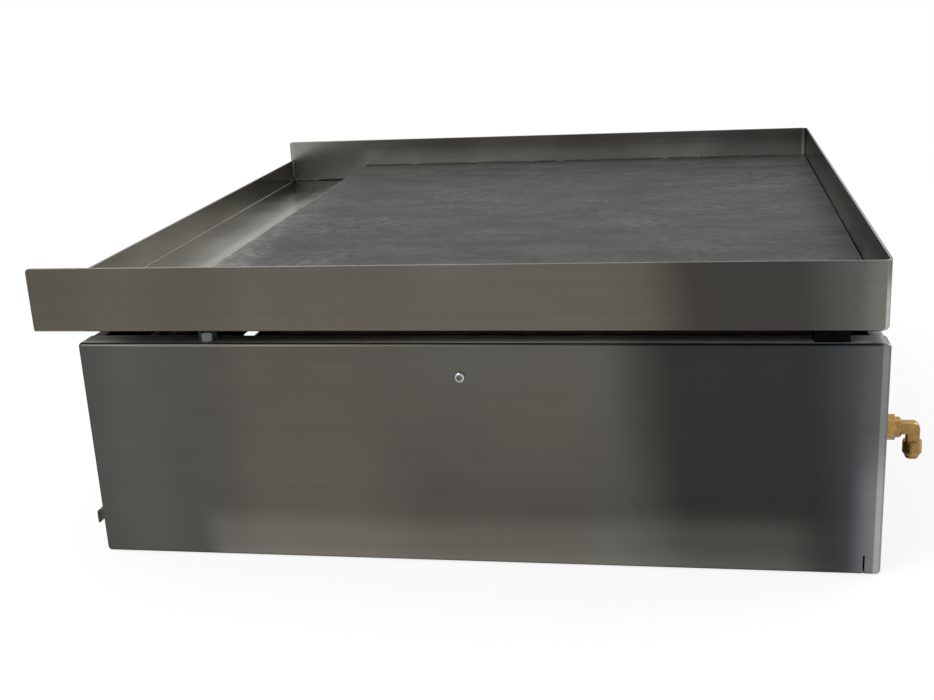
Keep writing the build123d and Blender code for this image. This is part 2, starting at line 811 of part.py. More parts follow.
with BuildPart() as inlet_elbow:
    leg_y = panel_face + elbow_reach
    thread_top = inlet_z - elbow_drop
    with BuildSketch(Plane.YZ.offset(pipe_x)) as forging:
        with Locations((collar_end, inlet_z)):
            Rectangle(leg_y + elbow_half - collar_end, 2 * elbow_half, align=(Align.MIN, Align.CENTER))
        with Locations((leg_y, thread_top)):
            Rectangle(2 * elbow_half, inlet_z - thread_top, align=(Align.CENTER, Align.MIN))
        outer_corner = forging.vertices().sort_by_distance((leg_y + elbow_half, inlet_z + elbow_half))[0]
        fillet(outer_corner, elbow_round)
    extrude(amount=elbow_half, both=True)
    cheeks = inlet_elbow.faces().filter_by(Axis.X)
    long_edges = [e for e in cheeks.edges() if e.center().Y > collar_end + same_place]
    long_edges = [e for e in long_edges if e.center().Z > thread_top + same_place]
    chamfer(long_edges, elbow_bevel)
    with BuildSketch(Plane(origin=(pipe_x, leg_y, 0), x_dir=(0, 1, 0), z_dir=(1, 0, 0))):
        with BuildLine():
            thread_end = thread_top - thread_length
            flare_end = thread_end - flare_length
            Polyline(
                (0, thread_top),
                (thread_radius, thread_top),
                (thread_radius, thread_end),
                (thread_radius - thread_lead, thread_end - thread_lead),
                (flare_end_radius, flare_end),
                (0, flare_end),
                close=True,
            )
        make_face()
    revolve(axis=Axis((pipe_x, leg_y, 0), (0, 0, 1)))
    with BuildSketch(Plane.XY.offset(flare_end)):
        with Locations((pipe_x, leg_y)):
            Circle(inlet_bore)
    extrude(amount=inlet_z - flare_end, mode=Mode.SUBTRACT)
    with BuildSketch(upright(collar_end)):
        with Locations((pipe_x, inlet_z)):
            Circle(inlet_bore)
    extrude(amount=-elbow_reach + union_length + union_collar_length, mode=Mode.SUBTRACT)
save(inlet_elbow, "inlet_elbow")

with BuildPart() as supply_pipe:
    with BuildLine():
        FilletPolyline(
            (pipe_x, tail_end, inlet_z),
            (pipe_x, manifold_y, inlet_z),
            (pipe_x, manifold_y, stub_z),
            radius=supply_bend,
        )
    with BuildSketch(Plane((pipe_x, tail_end, inlet_z), z_dir=(0, -1, 0))):
        Circle(supply_radius)
        Circle(supply_radius - supply_wall, mode=Mode.SUBTRACT)
    sweep()
save(supply_pipe, "supply_pipe")

# Igniter

with BuildPart() as igniter_body:
    flange_front = -panel_face - igniter_flange
    barrel_end = -panel_face + igniter_length
    bore_end = flange_front + igniter_bore_depth
    outline = [
        (flange_front, button_radius + running),
        (flange_front, igniter_flange_radius),
        (-panel_face, igniter_flange_radius),
        (-panel_face, igniter_radius),
        (barrel_end, igniter_radius),
        (barrel_end, terminal_radius),
        (barrel_end + terminal_length, terminal_radius),
        (barrel_end + terminal_length, 0),
        (bore_end, 0),
        (bore_end, button_radius + running),
    ]
    revolve(turning_profile(igniter_x, knob_z, outline), axis=y_axis(igniter_x, knob_z))
save(igniter_body, "igniter_body")

with BuildPart() as igniter_ring_nut:
    with BuildSketch(upright(-panel_back)):
        with Locations((igniter_x, knob_z)):
            RegularPolygon(ring_nut_flats / 2, 6, major_radius=False)
            Circle(igniter_radius + press, mode=Mode.SUBTRACT)
    extrude(amount=-ring_nut_length)
save(igniter_ring_nut, "igniter_ring_nut")

with BuildPart() as igniter_button:
    with BuildSketch(upright(flange_front - button_proud + button_length)):
        with Locations((igniter_x, knob_z)):
            Circle(button_radius)
    extrude(amount=button_length)
    fillet(igniter_button.edges().filter_by(GeomType.CIRCLE).sort_by(Axis.Y)[0], knob_round)
save(igniter_button, "igniter_button")

with BuildPart() as igniter_electrode:
    outline = [
        (firewall_y - electrode_front, 0),
        (firewall_y - electrode_front, electrode_radius),
        (firewall_back + electrode_back, electrode_radius),
        (firewall_back + electrode_back, electrode_tip_radius),
        (firewall_back + electrode_back + electrode_tip, electrode_tip_radius),
        (firewall_back + electrode_back + electrode_tip, 0),
    ]
    revolve(turning_profile(electrode_x, burner_z, outline), axis=y_axis(electrode_x, burner_z))
save(igniter_electrode, "igniter_electrode")

# Griddle

with BuildPart() as griddle_tray:
    with Locations((0, (tray_front + tray_rear) / 2, tray_bottom)):
        Box(2 * tray_half, tray_depth, tray_wall, align=on_floor)
    fillet(griddle_tray.edges().filter_by(Axis.Z).group_by(Axis.Y)[-1], tray_corner)
    bottom_edges = griddle_tray.faces().sort_by(Axis.Z)[0].edges()
    fillet([e for e in bottom_edges if e.center().Y > tray_front + same_place], fold_inside + tray_sheet)
    open_faces = [griddle_tray.faces().sort_by(Axis.Z)[-1], griddle_tray.faces().sort_by(Axis.Y)[0]]
    offset(amount=-tray_sheet, openings=open_faces)
    window_front = plate_front + plate_ledge
    window_rear = tray_rear - tray_sheet - plate_ledge
    with BuildSketch(Plane.XY.offset(tray_bottom)):
        with Locations((0, (window_front + window_rear) / 2)):
            RectangleRounded(2 * (tray_inner_half - plate_ledge), window_rear - window_front, tray_corner)
    extrude(amount=tray_sheet, mode=Mode.SUBTRACT)
    along_x = griddle_tray.edges().filter_by(Axis.X)
    noses = [e for e in along_x if e.center().Z > tray_bottom + tray_wall - same_place]
    fillet([e for e in noses if e.center().Y < tray_front + same_place], wall_nose)
save(griddle_tray, "griddle_tray")

with BuildPart() as trough_front:
    with BuildSketch(upright(tray_front)):
        with Locations((0, tray_floor)):
            Rectangle(
                2 * (tray_inner_half - fold_inside - press),
                trough_wall - tray_sheet,
                align=(Align.CENTER, Align.MIN),
            )
        with Locations((0, tray_floor + fold_inside)):
            Rectangle(
                2 * (tray_inner_half - press),
                trough_wall - tray_sheet - fold_inside,
                align=(Align.CENTER, Align.MIN),
            )
    extrude(amount=-tray_sheet)
save(trough_front, "trough_front")

with BuildPart() as griddle_plate:
    with Locations((0, (plate_front + plate_rear) / 2, tray_floor)):
        Box(2 * plate_half, plate_rear - plate_front, plate_thickness, align=on_floor)
    fillet(griddle_plate.edges().filter_by(Axis.Z).group_by(Axis.Y)[-1], tray_corner)
    chamfer(griddle_plate.faces().sort_by(Axis.Z)[0].edges(), plate_edge)
save(griddle_plate, "griddle_plate")

with BuildPart() as leveller_studs:
    places = [(sign * stud_x, stud_y) for sign in sides.values()]
    with BuildSketch(Plane.XY.offset(tray_bottom)):
        with Locations(places):
            Circle(stud_radius)
    extrude(amount=-stud_length)
    with Locations([(x, y, tray_bottom - stud_weld / 2) for x, y in places]):
        Cone(stud_radius, stud_weld_radius, stud_weld)
save(leveller_studs, "leveller_studs")

for side, sign in sides.items():
    with BuildPart() as leveller_nut:
        with BuildSketch(Plane.XY.offset(box_height)):
            with Locations((sign * stud_x, stud_y)):
                RegularPolygon(nut_flats / 2, 6, major_radius=False, rotation=30 + sign * nut_turn)
        extrude(amount=nut_height)
        corner_radius = nut_flats / 3**0.5
        with BuildSketch(Plane(origin=(sign * stud_x, stud_y, 0), x_dir=(1, 0, 0), z_dir=(0, -1, 0))):
            with BuildLine():
                Polyline(
                    (0, box_height),
                    (corner_radius - nut_chamfer, box_height),
                    (corner_radius, box_height + nut_chamfer),
                    (corner_radius, box_height + nut_height - nut_chamfer),
                    (corner_radius - nut_chamfer, box_height + nut_height),
                    (0, box_height + nut_height),
                    close=True,
                )
            make_face()
        revolve(axis=Axis((sign * stud_x, stud_y, 0), (0, 0, 1)), mode=Mode.INTERSECT)
        with Locations((sign * stud_x, stud_y, box_height)):
            Hole(stud_radius + running, depth=nut_height)
    save(leveller_nut, f"leveller_nut_{side}")

with BuildPart() as rear_rests:
    rest_x = half_width - side_flange / 2
    with Locations([(sign * rest_x, rest_y, box_height) for sign in sides.values()]):
        Box(rest_width, rest_length, tray_gap, align=on_floor)
save(rear_rests, "rear_rests")
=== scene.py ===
# Dresses the counter-top gas grill and its lift-off griddle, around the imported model.
import json
import math
import random

import bmesh
import bpy
from mathutils import Euler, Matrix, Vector


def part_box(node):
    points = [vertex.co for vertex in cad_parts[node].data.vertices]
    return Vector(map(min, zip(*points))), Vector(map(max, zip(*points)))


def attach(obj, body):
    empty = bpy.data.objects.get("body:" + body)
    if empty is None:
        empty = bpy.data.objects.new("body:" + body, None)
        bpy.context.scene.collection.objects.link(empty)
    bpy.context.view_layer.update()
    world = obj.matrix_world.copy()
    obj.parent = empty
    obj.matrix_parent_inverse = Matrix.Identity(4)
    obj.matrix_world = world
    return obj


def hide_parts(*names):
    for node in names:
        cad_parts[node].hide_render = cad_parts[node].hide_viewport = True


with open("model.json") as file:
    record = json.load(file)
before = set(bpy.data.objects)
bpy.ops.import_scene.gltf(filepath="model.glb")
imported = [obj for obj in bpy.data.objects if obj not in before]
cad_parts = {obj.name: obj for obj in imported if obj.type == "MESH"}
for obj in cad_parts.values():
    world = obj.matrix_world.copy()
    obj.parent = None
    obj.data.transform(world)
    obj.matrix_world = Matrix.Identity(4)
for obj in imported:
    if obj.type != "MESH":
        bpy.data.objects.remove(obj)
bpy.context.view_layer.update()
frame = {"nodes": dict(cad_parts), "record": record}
nodes = frame["nodes"]
slot_of = {row["node"]: row["material_slot"] for row in frame["record"]["subparts"]}
scene = bpy.context.scene
scene.view_settings.view_transform = "Standard"
chance = random.Random(11)

MM = 0.001
TINY = 1e-6
EAST = Vector((1, 0, 0))
NORTH = Vector((0, 1, 0))
UP = Vector((0, 0, 1))

# Places of the griddle that finishes and pieces share

SHEET = 1.5 * MM
tray_low, tray_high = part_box("griddle_tray")
plate_low, plate_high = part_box("griddle_plate")
wall_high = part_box("trough_front")[1]
floor_z = plate_low.z
inner_x = tray_high.x - SHEET
tray_inside_low = tray_low + Vector((SHEET, SHEET, SHEET)) / 2
tray_inside_high = tray_high - Vector((SHEET, SHEET, -SHEET)) / 2

# Depths (Y, front to rear) and heights (Z) between which the painted reflections and shade on the side
# walls change, in metres

FRONT_SHADE = (-0.265, -0.238)
FRONT_DIP = ((-0.225, -0.195), (-0.170, -0.145))
FRONT_SHEEN = ((-0.160, -0.130), (-0.085, -0.020))
MIDDLE_SHEEN = ((-0.070, -0.010), (0.075, 0.120))
MIDDLE_SHEEN_HEIGHTS = (0.050, 0.145)
REAR_SHEEN = (0.246, 0.263)
REAR_SHEEN_HEIGHTS = (0.045, 0.100)
TRAY_HEIGHTS = (0.155, 0.165)
REAR_FOLD = (0.2644, 0.2654)
FOOT_FRONT = (-0.195, -0.170)
FOOT_REAR = (0.195, 0.232)
# Heights of the painted reflection of the floor on the foot of the walls, strongest at the bottom edge
FOOT_REFLECTION_HEIGHTS = (0.022, 0.044)
FOOT_EDGE_REFLECTION_HEIGHTS = (0.0, 0.018)
COOL_FRONT = (0.212, 0.240)
COOL_REAR = (0.256, 0.264)
LEAN_HEIGHT = 0.08
LEAN = 0.1

# The same for the painted light and shade on the casing's top flange, and for the painted highlight on
# folded edges

FLANGE_FRONT = (-0.272, -0.225)
FLANGE_MIDDLE = (-0.180, 0.030)
FLANGE_REAR = ((0.100, 0.160), (0.225, 0.262))
FLANGE_END = (0.252, 0.262)
FOLD_REAR = (0.262, 0.266)

# Widths (X, left to right) and depths between which the painted reflections and shade inside the tray
# change; the plate is darker at its left end and scraped more towards its right

FRONT_WALL_LEFT = (-0.300, -0.210)
TROUGH_FLOOR_LEFT = (-0.250, -0.110)
TROUGH_FLOOR_FRONT = (-0.296, -0.268)
TROUGH_STRIP_LEFT = (-0.270, -0.135)
TROUGH_STRIP_FRONT = (-0.2535, -0.2440)
PLATE_LEFT = (-0.290, -0.120)
SCRAPED_LEFT = (-0.200, 0.200)

# Sockets of a Mix node, which has its own set for each kind of data

MIX_FACTOR = 0
MIX_VALUES = (2, 3)
MIX_VALUE_RESULT = 0
MIX_COLOURS = (6, 7)
MIX_COLOUR_RESULT = 2


# Helpers for shader trees


def place(tree, kind, values=None, **settings):
    """Adds a shader node with its settings and the values of its named sockets."""
    made = tree.nodes.new(kind)
    for name, value in settings.items():
        setattr(made, name, value)
    for name, value in (values or {}).items():
        made.inputs[name].default_value = value
    return made


def feed(tree, source, socket):
    """Links a socket to its source, or sets it where the source is a plain value."""
    if isinstance(source, bpy.types.NodeSocket):
        tree.links.new(source, socket)
    else:
        socket.default_value = source


def maths(tree, operation, *values):
    """Output of a Math node over sockets or numbers."""
    made = place(tree, "ShaderNodeMath", operation=operation)
    for socket, value in zip(made.inputs, values):
        feed(tree, value, socket)
    return made.outputs[0]


def product(tree, first, second):
    """Output of a Math node that multiplies two sockets or numbers."""
    return maths(tree, "MULTIPLY", first, second)


def slope(tree, value, low, high, start=0.0, end=1.0):
    """Smooth step of a value from start, below low, to end, above high."""
    made = place(tree, "ShaderNodeMapRange", interpolation_type="SMOOTHSTEP")
    sockets = ("Value", "From Min", "From Max", "To Min", "To Max")
    for socket, given in zip(sockets, (value, low, high, start, end)):
        feed(tree, given, made.inputs[socket])
    return made.outputs["Result"]


def stretch(tree, value, rise, fall, level):
    """A level held over a stretch of a value, with a soft rise and a soft fall."""
    held = slope(tree, value, *fall, start=level, end=0.0)
    return product(tree, slope(tree, value, *rise), held)


def position(tree):
    """Point on the surface in the shared frame: the vector, and its X, Y and Z."""
    coords = place(tree, "ShaderNodeTexCoord").outputs["Object"]
    spots = place(tree, "ShaderNodeSeparateXYZ")
    tree.links.new(coords, spots.inputs[0])
    return coords, *spots.outputs


def blend_colours(tree, factor, first, second):
    """Colour mixed from two colours by a factor."""
    made = place(tree, "ShaderNodeMix", data_type="RGBA")
    feed(tree, factor, made.inputs[MIX_FACTOR])
    for socket, colour in zip(MIX_COLOURS, (first, second)):
        feed(tree, colour, made.inputs[socket])
    return made.outputs[MIX_COLOUR_RESULT]


def blend_values(tree, factor, first, second):
    """Value mixed from two values by a factor."""
    made = place(tree, "ShaderNodeMix", data_type="FLOAT")
    feed(tree, factor, made.inputs[MIX_FACTOR])
    for socket, value in zip(MIX_VALUES, (first, second)):
        feed(tree, value, made.inputs[socket])
    return made.outputs[MIX_VALUE_RESULT]


def grains(tree, vector, scale, detail=2.0, roughness=0.5):
    """Noise from 0 to 1 over a vector."""
    made = place(tree, "ShaderNodeTexNoise", {"Scale": scale, "Detail": detail, "Roughness": roughness})
    tree.links.new(vector, made.inputs["Vector"])
    return made.outputs[0]


def face_direction(tree):
    """X, Y and Z of the direction that the surface faces, in the shared frame."""
    facing = place(tree, "ShaderNodeSeparateXYZ")
    tree.links.new(place(tree, "ShaderNodeTexCoord").outputs["Normal"], facing.inputs[0])
    return facing.outputs


def stretched(tree, vector, amounts):
    """A vector with each axis scaled, by numbers or sockets."""
    parts = place(tree, "ShaderNodeCombineXYZ")
    for socket, amount in zip(parts.inputs, amounts):
        feed(tree, amount, socket)
    made = place(tree, "ShaderNodeVectorMath", operation="MULTIPLY")
    tree.links.new(vector, made.inputs[0])
    tree.links.new(parts.outputs[0], made.inputs[1])
    return made.outputs[0]


def new_group(name, inputs, outputs):
    """Empty shader group with named sockets; returns the tree, its inputs and its outputs."""
    tree = bpy.data.node_groups.new(name, "ShaderNodeTree")
    for socket, default in inputs.items():
        made = tree.interface.new_socket(socket, in_out="INPUT", socket_type="NodeSocketFloat")
        made.default_value = default
    for socket, kind in outputs.items():
        tree.interface.new_socket(socket, in_out="OUTPUT", socket_type=kind)
    return tree, tree.nodes.new("NodeGroupInput").outputs, tree.nodes.new("NodeGroupOutput").inputs


def use_group(tree, group, **values):
    """Places a group in a material with its own values; returns its outputs."""
    made = place(tree, "ShaderNodeGroup", node_tree=group)
    for name, value in values.items():
        made.inputs[name.replace("_", " ")].default_value = value
    return made.outputs


# Effects that several finishes share


def make_brushed_grain():
    """Fine lines left by the brushing belt: level on walls, along one side on flat faces."""
    tree, given, result = new_group(
        "brushed_grain",
        {"Lines": 500.0, "Run": 4.0, "Flat Along X": 0.0},
        {"Grain": "NodeSocketFloat", "Streak": "NodeSocketFloat"},
    )
    least_of_flat = 0.7
    streak_scale = 0.11
    up = maths(tree, "ABSOLUTE", face_direction(tree)["Z"])
    flat = maths(tree, "GREATER_THAN", up, least_of_flat)
    lines = given["Lines"]
    run = given["Run"]
    along_x = given["Flat Along X"]
    along_y = maths(tree, "SUBTRACT", 1.0, along_x)
    wall = maths(tree, "SUBTRACT", 1.0, flat)
    spread = maths(tree, "SUBTRACT", lines, run)
    x_share = product(tree, flat, along_y)
    y_share = product(tree, flat, along_x)
    scales = [maths(tree, "MULTIPLY_ADD", spread, share, run) for share in (x_share, y_share, wall)]
    vector = stretched(tree, position(tree)[0], scales)
    tree.links.new(grains(tree, vector, 1.0, detail=3.0, roughness=0.65), result["Grain"])
    tree.links.new(grains(tree, vector, streak_scale), result["Streak"])
    return tree


def make_painted_reflection_bands():
    """Painted reflections and shade: broad light and dark stretches over the depth and height of a wall,
    with warm and cool tints.
    """
    tree, given, result = new_group(
        "painted_reflection_bands",
        {
            "Depth": 1.0,
            "Dark Middle": 0.182,
            "Dark Half": 0.068,
            "Warm From": -0.17,
            "Warm To": 0.10,
            "Ends": 1.0,
        },
        {"Tone": "NodeSocketFloat", "Warm": "NodeSocketFloat", "Cool": "NodeSocketFloat"},
    )
    coords, _, exact_y, exact_z = position(tree)
    wander_along = 0.03
    wander_up = 0.02
    end_facing = (0.955, 0.99)
    wander = maths(tree, "SUBTRACT", grains(tree, coords, 5.0), 0.5)
    y = maths(tree, "MULTIPLY_ADD", wander, wander_along, exact_y)
    z = maths(tree, "MULTIPLY_ADD", wander, wander_up, exact_z)
    leaning = maths(tree, "MULTIPLY_ADD", maths(tree, "SUBTRACT", z, LEAN_HEIGHT), LEAN, y)
    off_dark = maths(tree, "ABSOLUTE", maths(tree, "SUBTRACT", leaning, given["Dark Middle"]))
    off_dark = maths(tree, "DIVIDE", off_dark, given["Dark Half"])
    middle_tone = slope(tree, z, *MIDDLE_SHEEN_HEIGHTS, start=-0.09, end=0.15)
    rear_tone = maths(
        tree,
        "ADD",
        slope(tree, z, *REAR_SHEEN_HEIGHTS, start=1.5, end=0.35),
        slope(tree, exact_z, *TRAY_HEIGHTS, start=0.0, end=0.35),
    )
    # Painted reflections: a dark band that leans with height, light and dark stretches along the depth,
    # and a painted highlight on the rear fold
    reflection_bands = (
        slope(tree, off_dark, 0.55, 1.4, start=-0.62, end=0.0),
        slope(tree, y, *FRONT_SHADE, start=-0.13, end=0.0),
        stretch(tree, y, *FRONT_DIP, level=-0.10),
        stretch(tree, y, *FRONT_SHEEN, level=0.09),
        product(tree, stretch(tree, y, *MIDDLE_SHEEN, level=1.0), middle_tone),
        product(tree, slope(tree, exact_y, *REAR_SHEEN), rear_tone),
        slope(tree, exact_y, *REAR_FOLD, start=0.0, end=0.95),
    )
    tone = 1.0
    for painted_band in reflection_bands:
        tone = product(tree, maths(tree, "MULTIPLY_ADD", painted_band, given["Depth"], 1.0), tone)
    # Painted reflection of the floor on the foot of the wall, strongest at its bottom edge
    foot_reflection = slope(tree, z, *FOOT_REFLECTION_HEIGHTS, start=0.48, end=0.0)
    foot_edge_reflection = slope(tree, z, *FOOT_EDGE_REFLECTION_HEIGHTS, start=0.35, end=0.0)
    foot = maths(tree, "ADD", foot_reflection, foot_edge_reflection)
    foot = product(tree, foot, slope(tree, y, *FOOT_FRONT))
    foot = product(tree, foot, slope(tree, leaning, *FOOT_REAR, start=1.0, end=0.15))
    tone = maths(tree, "MULTIPLY_ADD", foot, given["Depth"], tone)
    endwise = maths(tree, "ABSOLUTE", face_direction(tree)["Y"])
    side = slope(tree, endwise, *end_facing, start=1.0, end=0.0)
    tree.links.new(blend_values(tree, side, given["Ends"], tone), result["Tone"])
    past_warm_start = maths(tree, "SUBTRACT", y, given["Warm From"])
    past_warm_end = maths(tree, "SUBTRACT", y, given["Warm To"])
    into_warm = slope(tree, past_warm_start, -0.015, 0.015)
    out_of_warm = slope(tree, past_warm_end, -0.035, 0.035, start=1.0, end=0.0)
    warm = product(tree, into_warm, out_of_warm)
    tree.links.new(product(tree, warm, side), result["Warm"])
    # Cool tint of the painted reflection by the rear fold
    past_fold = slope(tree, exact_y, *COOL_REAR, start=1.0, end=0.5)
    cool_reflection = product(tree, slope(tree, leaning, *COOL_FRONT), past_fold)
    tree.links.new(product(tree, cool_reflection, side), result["Cool"])
    return tree


def make_mottling():
    """Cloudy patches of handling, oil and heat."""
    tree, given, result = new_group(
        "mottling",
        {"Size": 9.0, "Stretch": 1.0, "Low": 0.35, "High": 0.65},
        {"Mask": "NodeSocketFloat", "Slow": "NodeSocketFloat"},
    )
    slow_scale = 4.0
    coords = position(tree)[0]
    length = maths(tree, "DIVIDE", given["Size"], given["Stretch"])
    vector = stretched(tree, coords, (given["Size"], length, given["Size"]))
    cloud = grains(tree, vector, 1.0, detail=5.0, roughness=0.6)
    tree.links.new(slope(tree, cloud, given["Low"], given["High"]), result["Mask"])
    tree.links.new(grains(tree, coords, slow_scale, detail=1.0), result["Slow"])
    return tree


def make_fine_scratches():
    """Thin scratches in three directions, where the surface has been scraped."""
    tree, given, result = new_group("fine_scratches", {"Amount": 0.5}, {"Mask": "NodeSocketFloat"})
    turns_and_lines = ((0.15, 260.0), (-0.35, 330.0), (1.1, 290.0))
    along_scale = 9.0
    patch_scale = 14.0
    coords = position(tree)[0]
    total = 0.0
    for turn, lines in turns_and_lines:
        values = {"Rotation": (turn, turn, turn), "Scale": (lines, along_scale, lines)}
        turned = place(tree, "ShaderNodeMapping", values)
        tree.links.new(coords, turned.inputs["Vector"])
        mark = slope(tree, grains(tree, turned.outputs[0], 1.0, detail=1.0), 0.70, 0.76)
        total = maths(tree, "MAXIMUM", total, mark)
    patchy = slope(tree, grains(tree, coords, patch_scale), 0.42, 0.62)
    mask = product(tree, product(tree, total, patchy), given["Amount"])
    tree.links.new(mask, result["Mask"])
    return tree


def make_rounded_edges():
    """Softened normals, and masks of edges, of folds and of faces that look up."""
    tree, given, result = new_group(
        "rounded_edges",
        {"Radius": 0.7 * MM},
        {
            "Edge": "NodeSocketFloat",
            "Bend": "NodeSocketFloat",
            "Flat": "NodeSocketFloat",
            "Normal": "NodeSocketVector",
        },
    )
    edge_turn = (0.78, 0.985)
    fold_turn = (0.8, 0.985)
    level_face = (0.95, 0.995)
    bevel = place(tree, "ShaderNodeBevel", samples=4)
    tree.links.new(given["Radius"], bevel.inputs["Radius"])
    surface = place(tree, "ShaderNodeNewGeometry")
    along = place(tree, "ShaderNodeVectorMath", operation="DOT_PRODUCT")
    tree.links.new(bevel.outputs[0], along.inputs[0])
    tree.links.new(surface.outputs["Normal"], along.inputs[1])
    tree.links.new(slope(tree, along.outputs["Value"], *edge_turn, start=1.0, end=0.0), result["Edge"])
    tree.links.new(bevel.outputs[0], result["Normal"])
    facing = face_direction(tree)
    across, deep, up = [maths(tree, "ABSOLUTE", part) for part in facing]
    squarest = maths(tree, "MAXIMUM", maths(tree, "MAXIMUM", across, deep), up)
    tree.links.new(slope(tree, squarest, *fold_turn, start=1.0, end=0.0), result["Bend"])
    tree.links.new(slope(tree, facing["Z"], *level_face), result["Flat"])
    return tree


def make_heat_tint():
    """Straw, bronze and blue oxide colours of steel that has been hot, by a heat from 0 to 1."""
    tree, given, result = new_group(
        "heat_tint",
        {"Heat": 0.5, "Patches": 40.0},
        {"Colour": "NodeSocketColor"},
    )
    bare = (0.34, 0.33, 0.31, 1)
    straw = (0.30, 0.22, 0.11, 1)
    bronze = (0.16, 0.085, 0.045, 1)
    blue = (0.07, 0.065, 0.10, 1)
    soot = (0.03, 0.028, 0.027, 1)
    unevenness = 0.6
    vector = stretched(tree, position(tree)[0], [given["Patches"]] * 3)
    cloud = grains(tree, vector, 1.0, detail=3.0)
    heat = maths(tree, "MULTIPLY_ADD", cloud, unevenness, -unevenness / 2)
    heat = maths(tree, "ADD", given["Heat"], heat)
    ramp = place(tree, "ShaderNodeValToRGB")
    stops = ramp.color_ramp.elements
    stops[0].color = bare
    stops[1].color = soot
    for level, colour in ((0.3, straw), (0.5, bronze), (0.7, blue)):
        stops.new(level).color = colour
    tree.links.new(heat, ramp.inputs[0])
    tree.links.new(ramp.outputs[0], result["Colour"])
    return tree


brushed_grain = make_brushed_grain()
painted_reflection_bands = make_painted_reflection_bands()
mottling = make_mottling()
fine_scratches = make_fine_scratches()
rounded_edges = make_rounded_edges()
heat_tint = make_heat_tint()


# Finishes


def new_finish(name, **constants):
    """Material with one Principled shader; returns the material, its tree and the shader's inputs."""
    finish = bpy.data.materials.new(name)
    finish.use_nodes = True
    tree = finish.node_tree
    shader = tree.nodes["Principled BSDF"]
    for socket, value in constants.items():
        shader.inputs[socket.replace("_", " ")].default_value = value
    return finish, tree, shader.inputs


def scaled(tree, colour, tone):
    """Colour times a tone."""
    made = place(tree, "ShaderNodeVectorMath", operation="SCALE")
    feed(tree, colour, made.inputs[0])
    feed(tree, tone, made.inputs["Scale"])
    return made.outputs[0]


def varied(tree, base, *effects):
    """Base plus each mask, shifted to its middle and times its share."""
    total = base
    for mask, share in effects:
        total = maths(tree, "MULTIPLY_ADD", maths(tree, "SUBTRACT", mask, 0.5), share, total)
    return total


def gained(tree, mask, gain):
    """Gain that is 1 off a mask and full on it."""
    return slope(tree, mask, 0.0, 1.0, start=1.0, end=gain)


def raised(tree, inputs, height, normal, strength, distance=0.2 * MM):
    """Bump from a height, over a softened normal, that feeds the shader's Normal."""
    bump = place(tree, "ShaderNodeBump", {"Strength": strength, "Distance": distance})
    tree.links.new(height, bump.inputs["Height"])
    tree.links.new(normal, bump.inputs["Normal"])
    tree.links.new(bump.outputs[0], inputs["Normal"])


def flange_light_and_shade(tree):
    """Gain that paints light and shade on the casing's top flange: pale at its front end, dull where the
    griddle shades it.
    """
    depth = position(tree)[2]
    gain = slope(tree, depth, *FLANGE_FRONT, start=9.0, end=0.0)
    for painted_band in (
        slope(tree, depth, *FLANGE_MIDDLE, start=1.8, end=6.0),
        stretch(tree, depth, *FLANGE_REAR, level=5.0),
        slope(tree, depth, *FLANGE_END, start=0.0, end=-4.5),
    ):
        gain = maths(tree, "ADD", gain, painted_band)
    return gain


def rear_fold_highlight(top, rear):
    """Gain that paints highlights on folded edges, brighter on the fold at the rear."""
    return lambda tree: slope(tree, position(tree)[2], *FOLD_REAR, start=top, end=rear)


def tray_reflections_and_shade(tree, looks_up):
    """Mask of the tray's inner faces, and their gain, which paints reflections and shade on them: pale by
    the plate, dark at the trough's left.
    """
    _, x, y, z = position(tree)
    mask = maths(tree, "LESS_THAN", maths(tree, "ABSOLUTE", x), tray_inside_high.x)
    for value, low, high in (
        (y, tray_inside_low.y, tray_inside_high.y),
        (z, tray_inside_low.z, tray_inside_high.z),
    ):
        mask = product(tree, mask, maths(tree, "GREATER_THAN", value, low))
        mask = product(tree, mask, maths(tree, "LESS_THAN", value, high))
    plate_top = plate_high.z
    beside_plate = slope(tree, z, plate_top + 1 * MM, plate_top + 24 * MM, start=4.2, end=1.7)
    at_rear = slope(tree, y, tray_high.y - 7 * MM, tray_high.y - 3 * MM, start=1.0, end=1.02)
    beside_plate = product(tree, beside_plate, at_rear)
    front_wall = slope(tree, x, *FRONT_WALL_LEFT, start=2.6, end=4.6)
    trough_end = slope(tree, z, floor_z, plate_top + 12 * MM, start=3.6, end=2.2)
    on_front = slope(tree, y, wall_high.y + 1 * MM, wall_high.y + 4 * MM, start=1.0, end=0.0)
    trough_wall = blend_values(tree, on_front, trough_end, front_wall)
    behind = slope(tree, y, plate_low.y - 12 * MM, plate_low.y + 20 * MM)
    walls = blend_values(tree, behind, trough_wall, beside_plate)
    trough_floor = slope(tree, x, *TROUGH_FLOOR_LEFT, start=0.63, end=3.6)
    at_front = slope(tree, y, *TROUGH_FLOOR_FRONT, start=1.1, end=1.0)
    trough_floor = product(tree, trough_floor, at_front)
    # Painted reflection: a bright strip on the trough's floor beside the plate
    reflection_strip = slope(tree, x, *TROUGH_STRIP_LEFT, start=0.8, end=5.2)
    on_strip = slope(tree, y, *TROUGH_STRIP_FRONT)
    ground = blend_values(tree, on_strip, trough_floor, reflection_strip)
    return mask, blend_values(tree, looks_up, walls, ground)


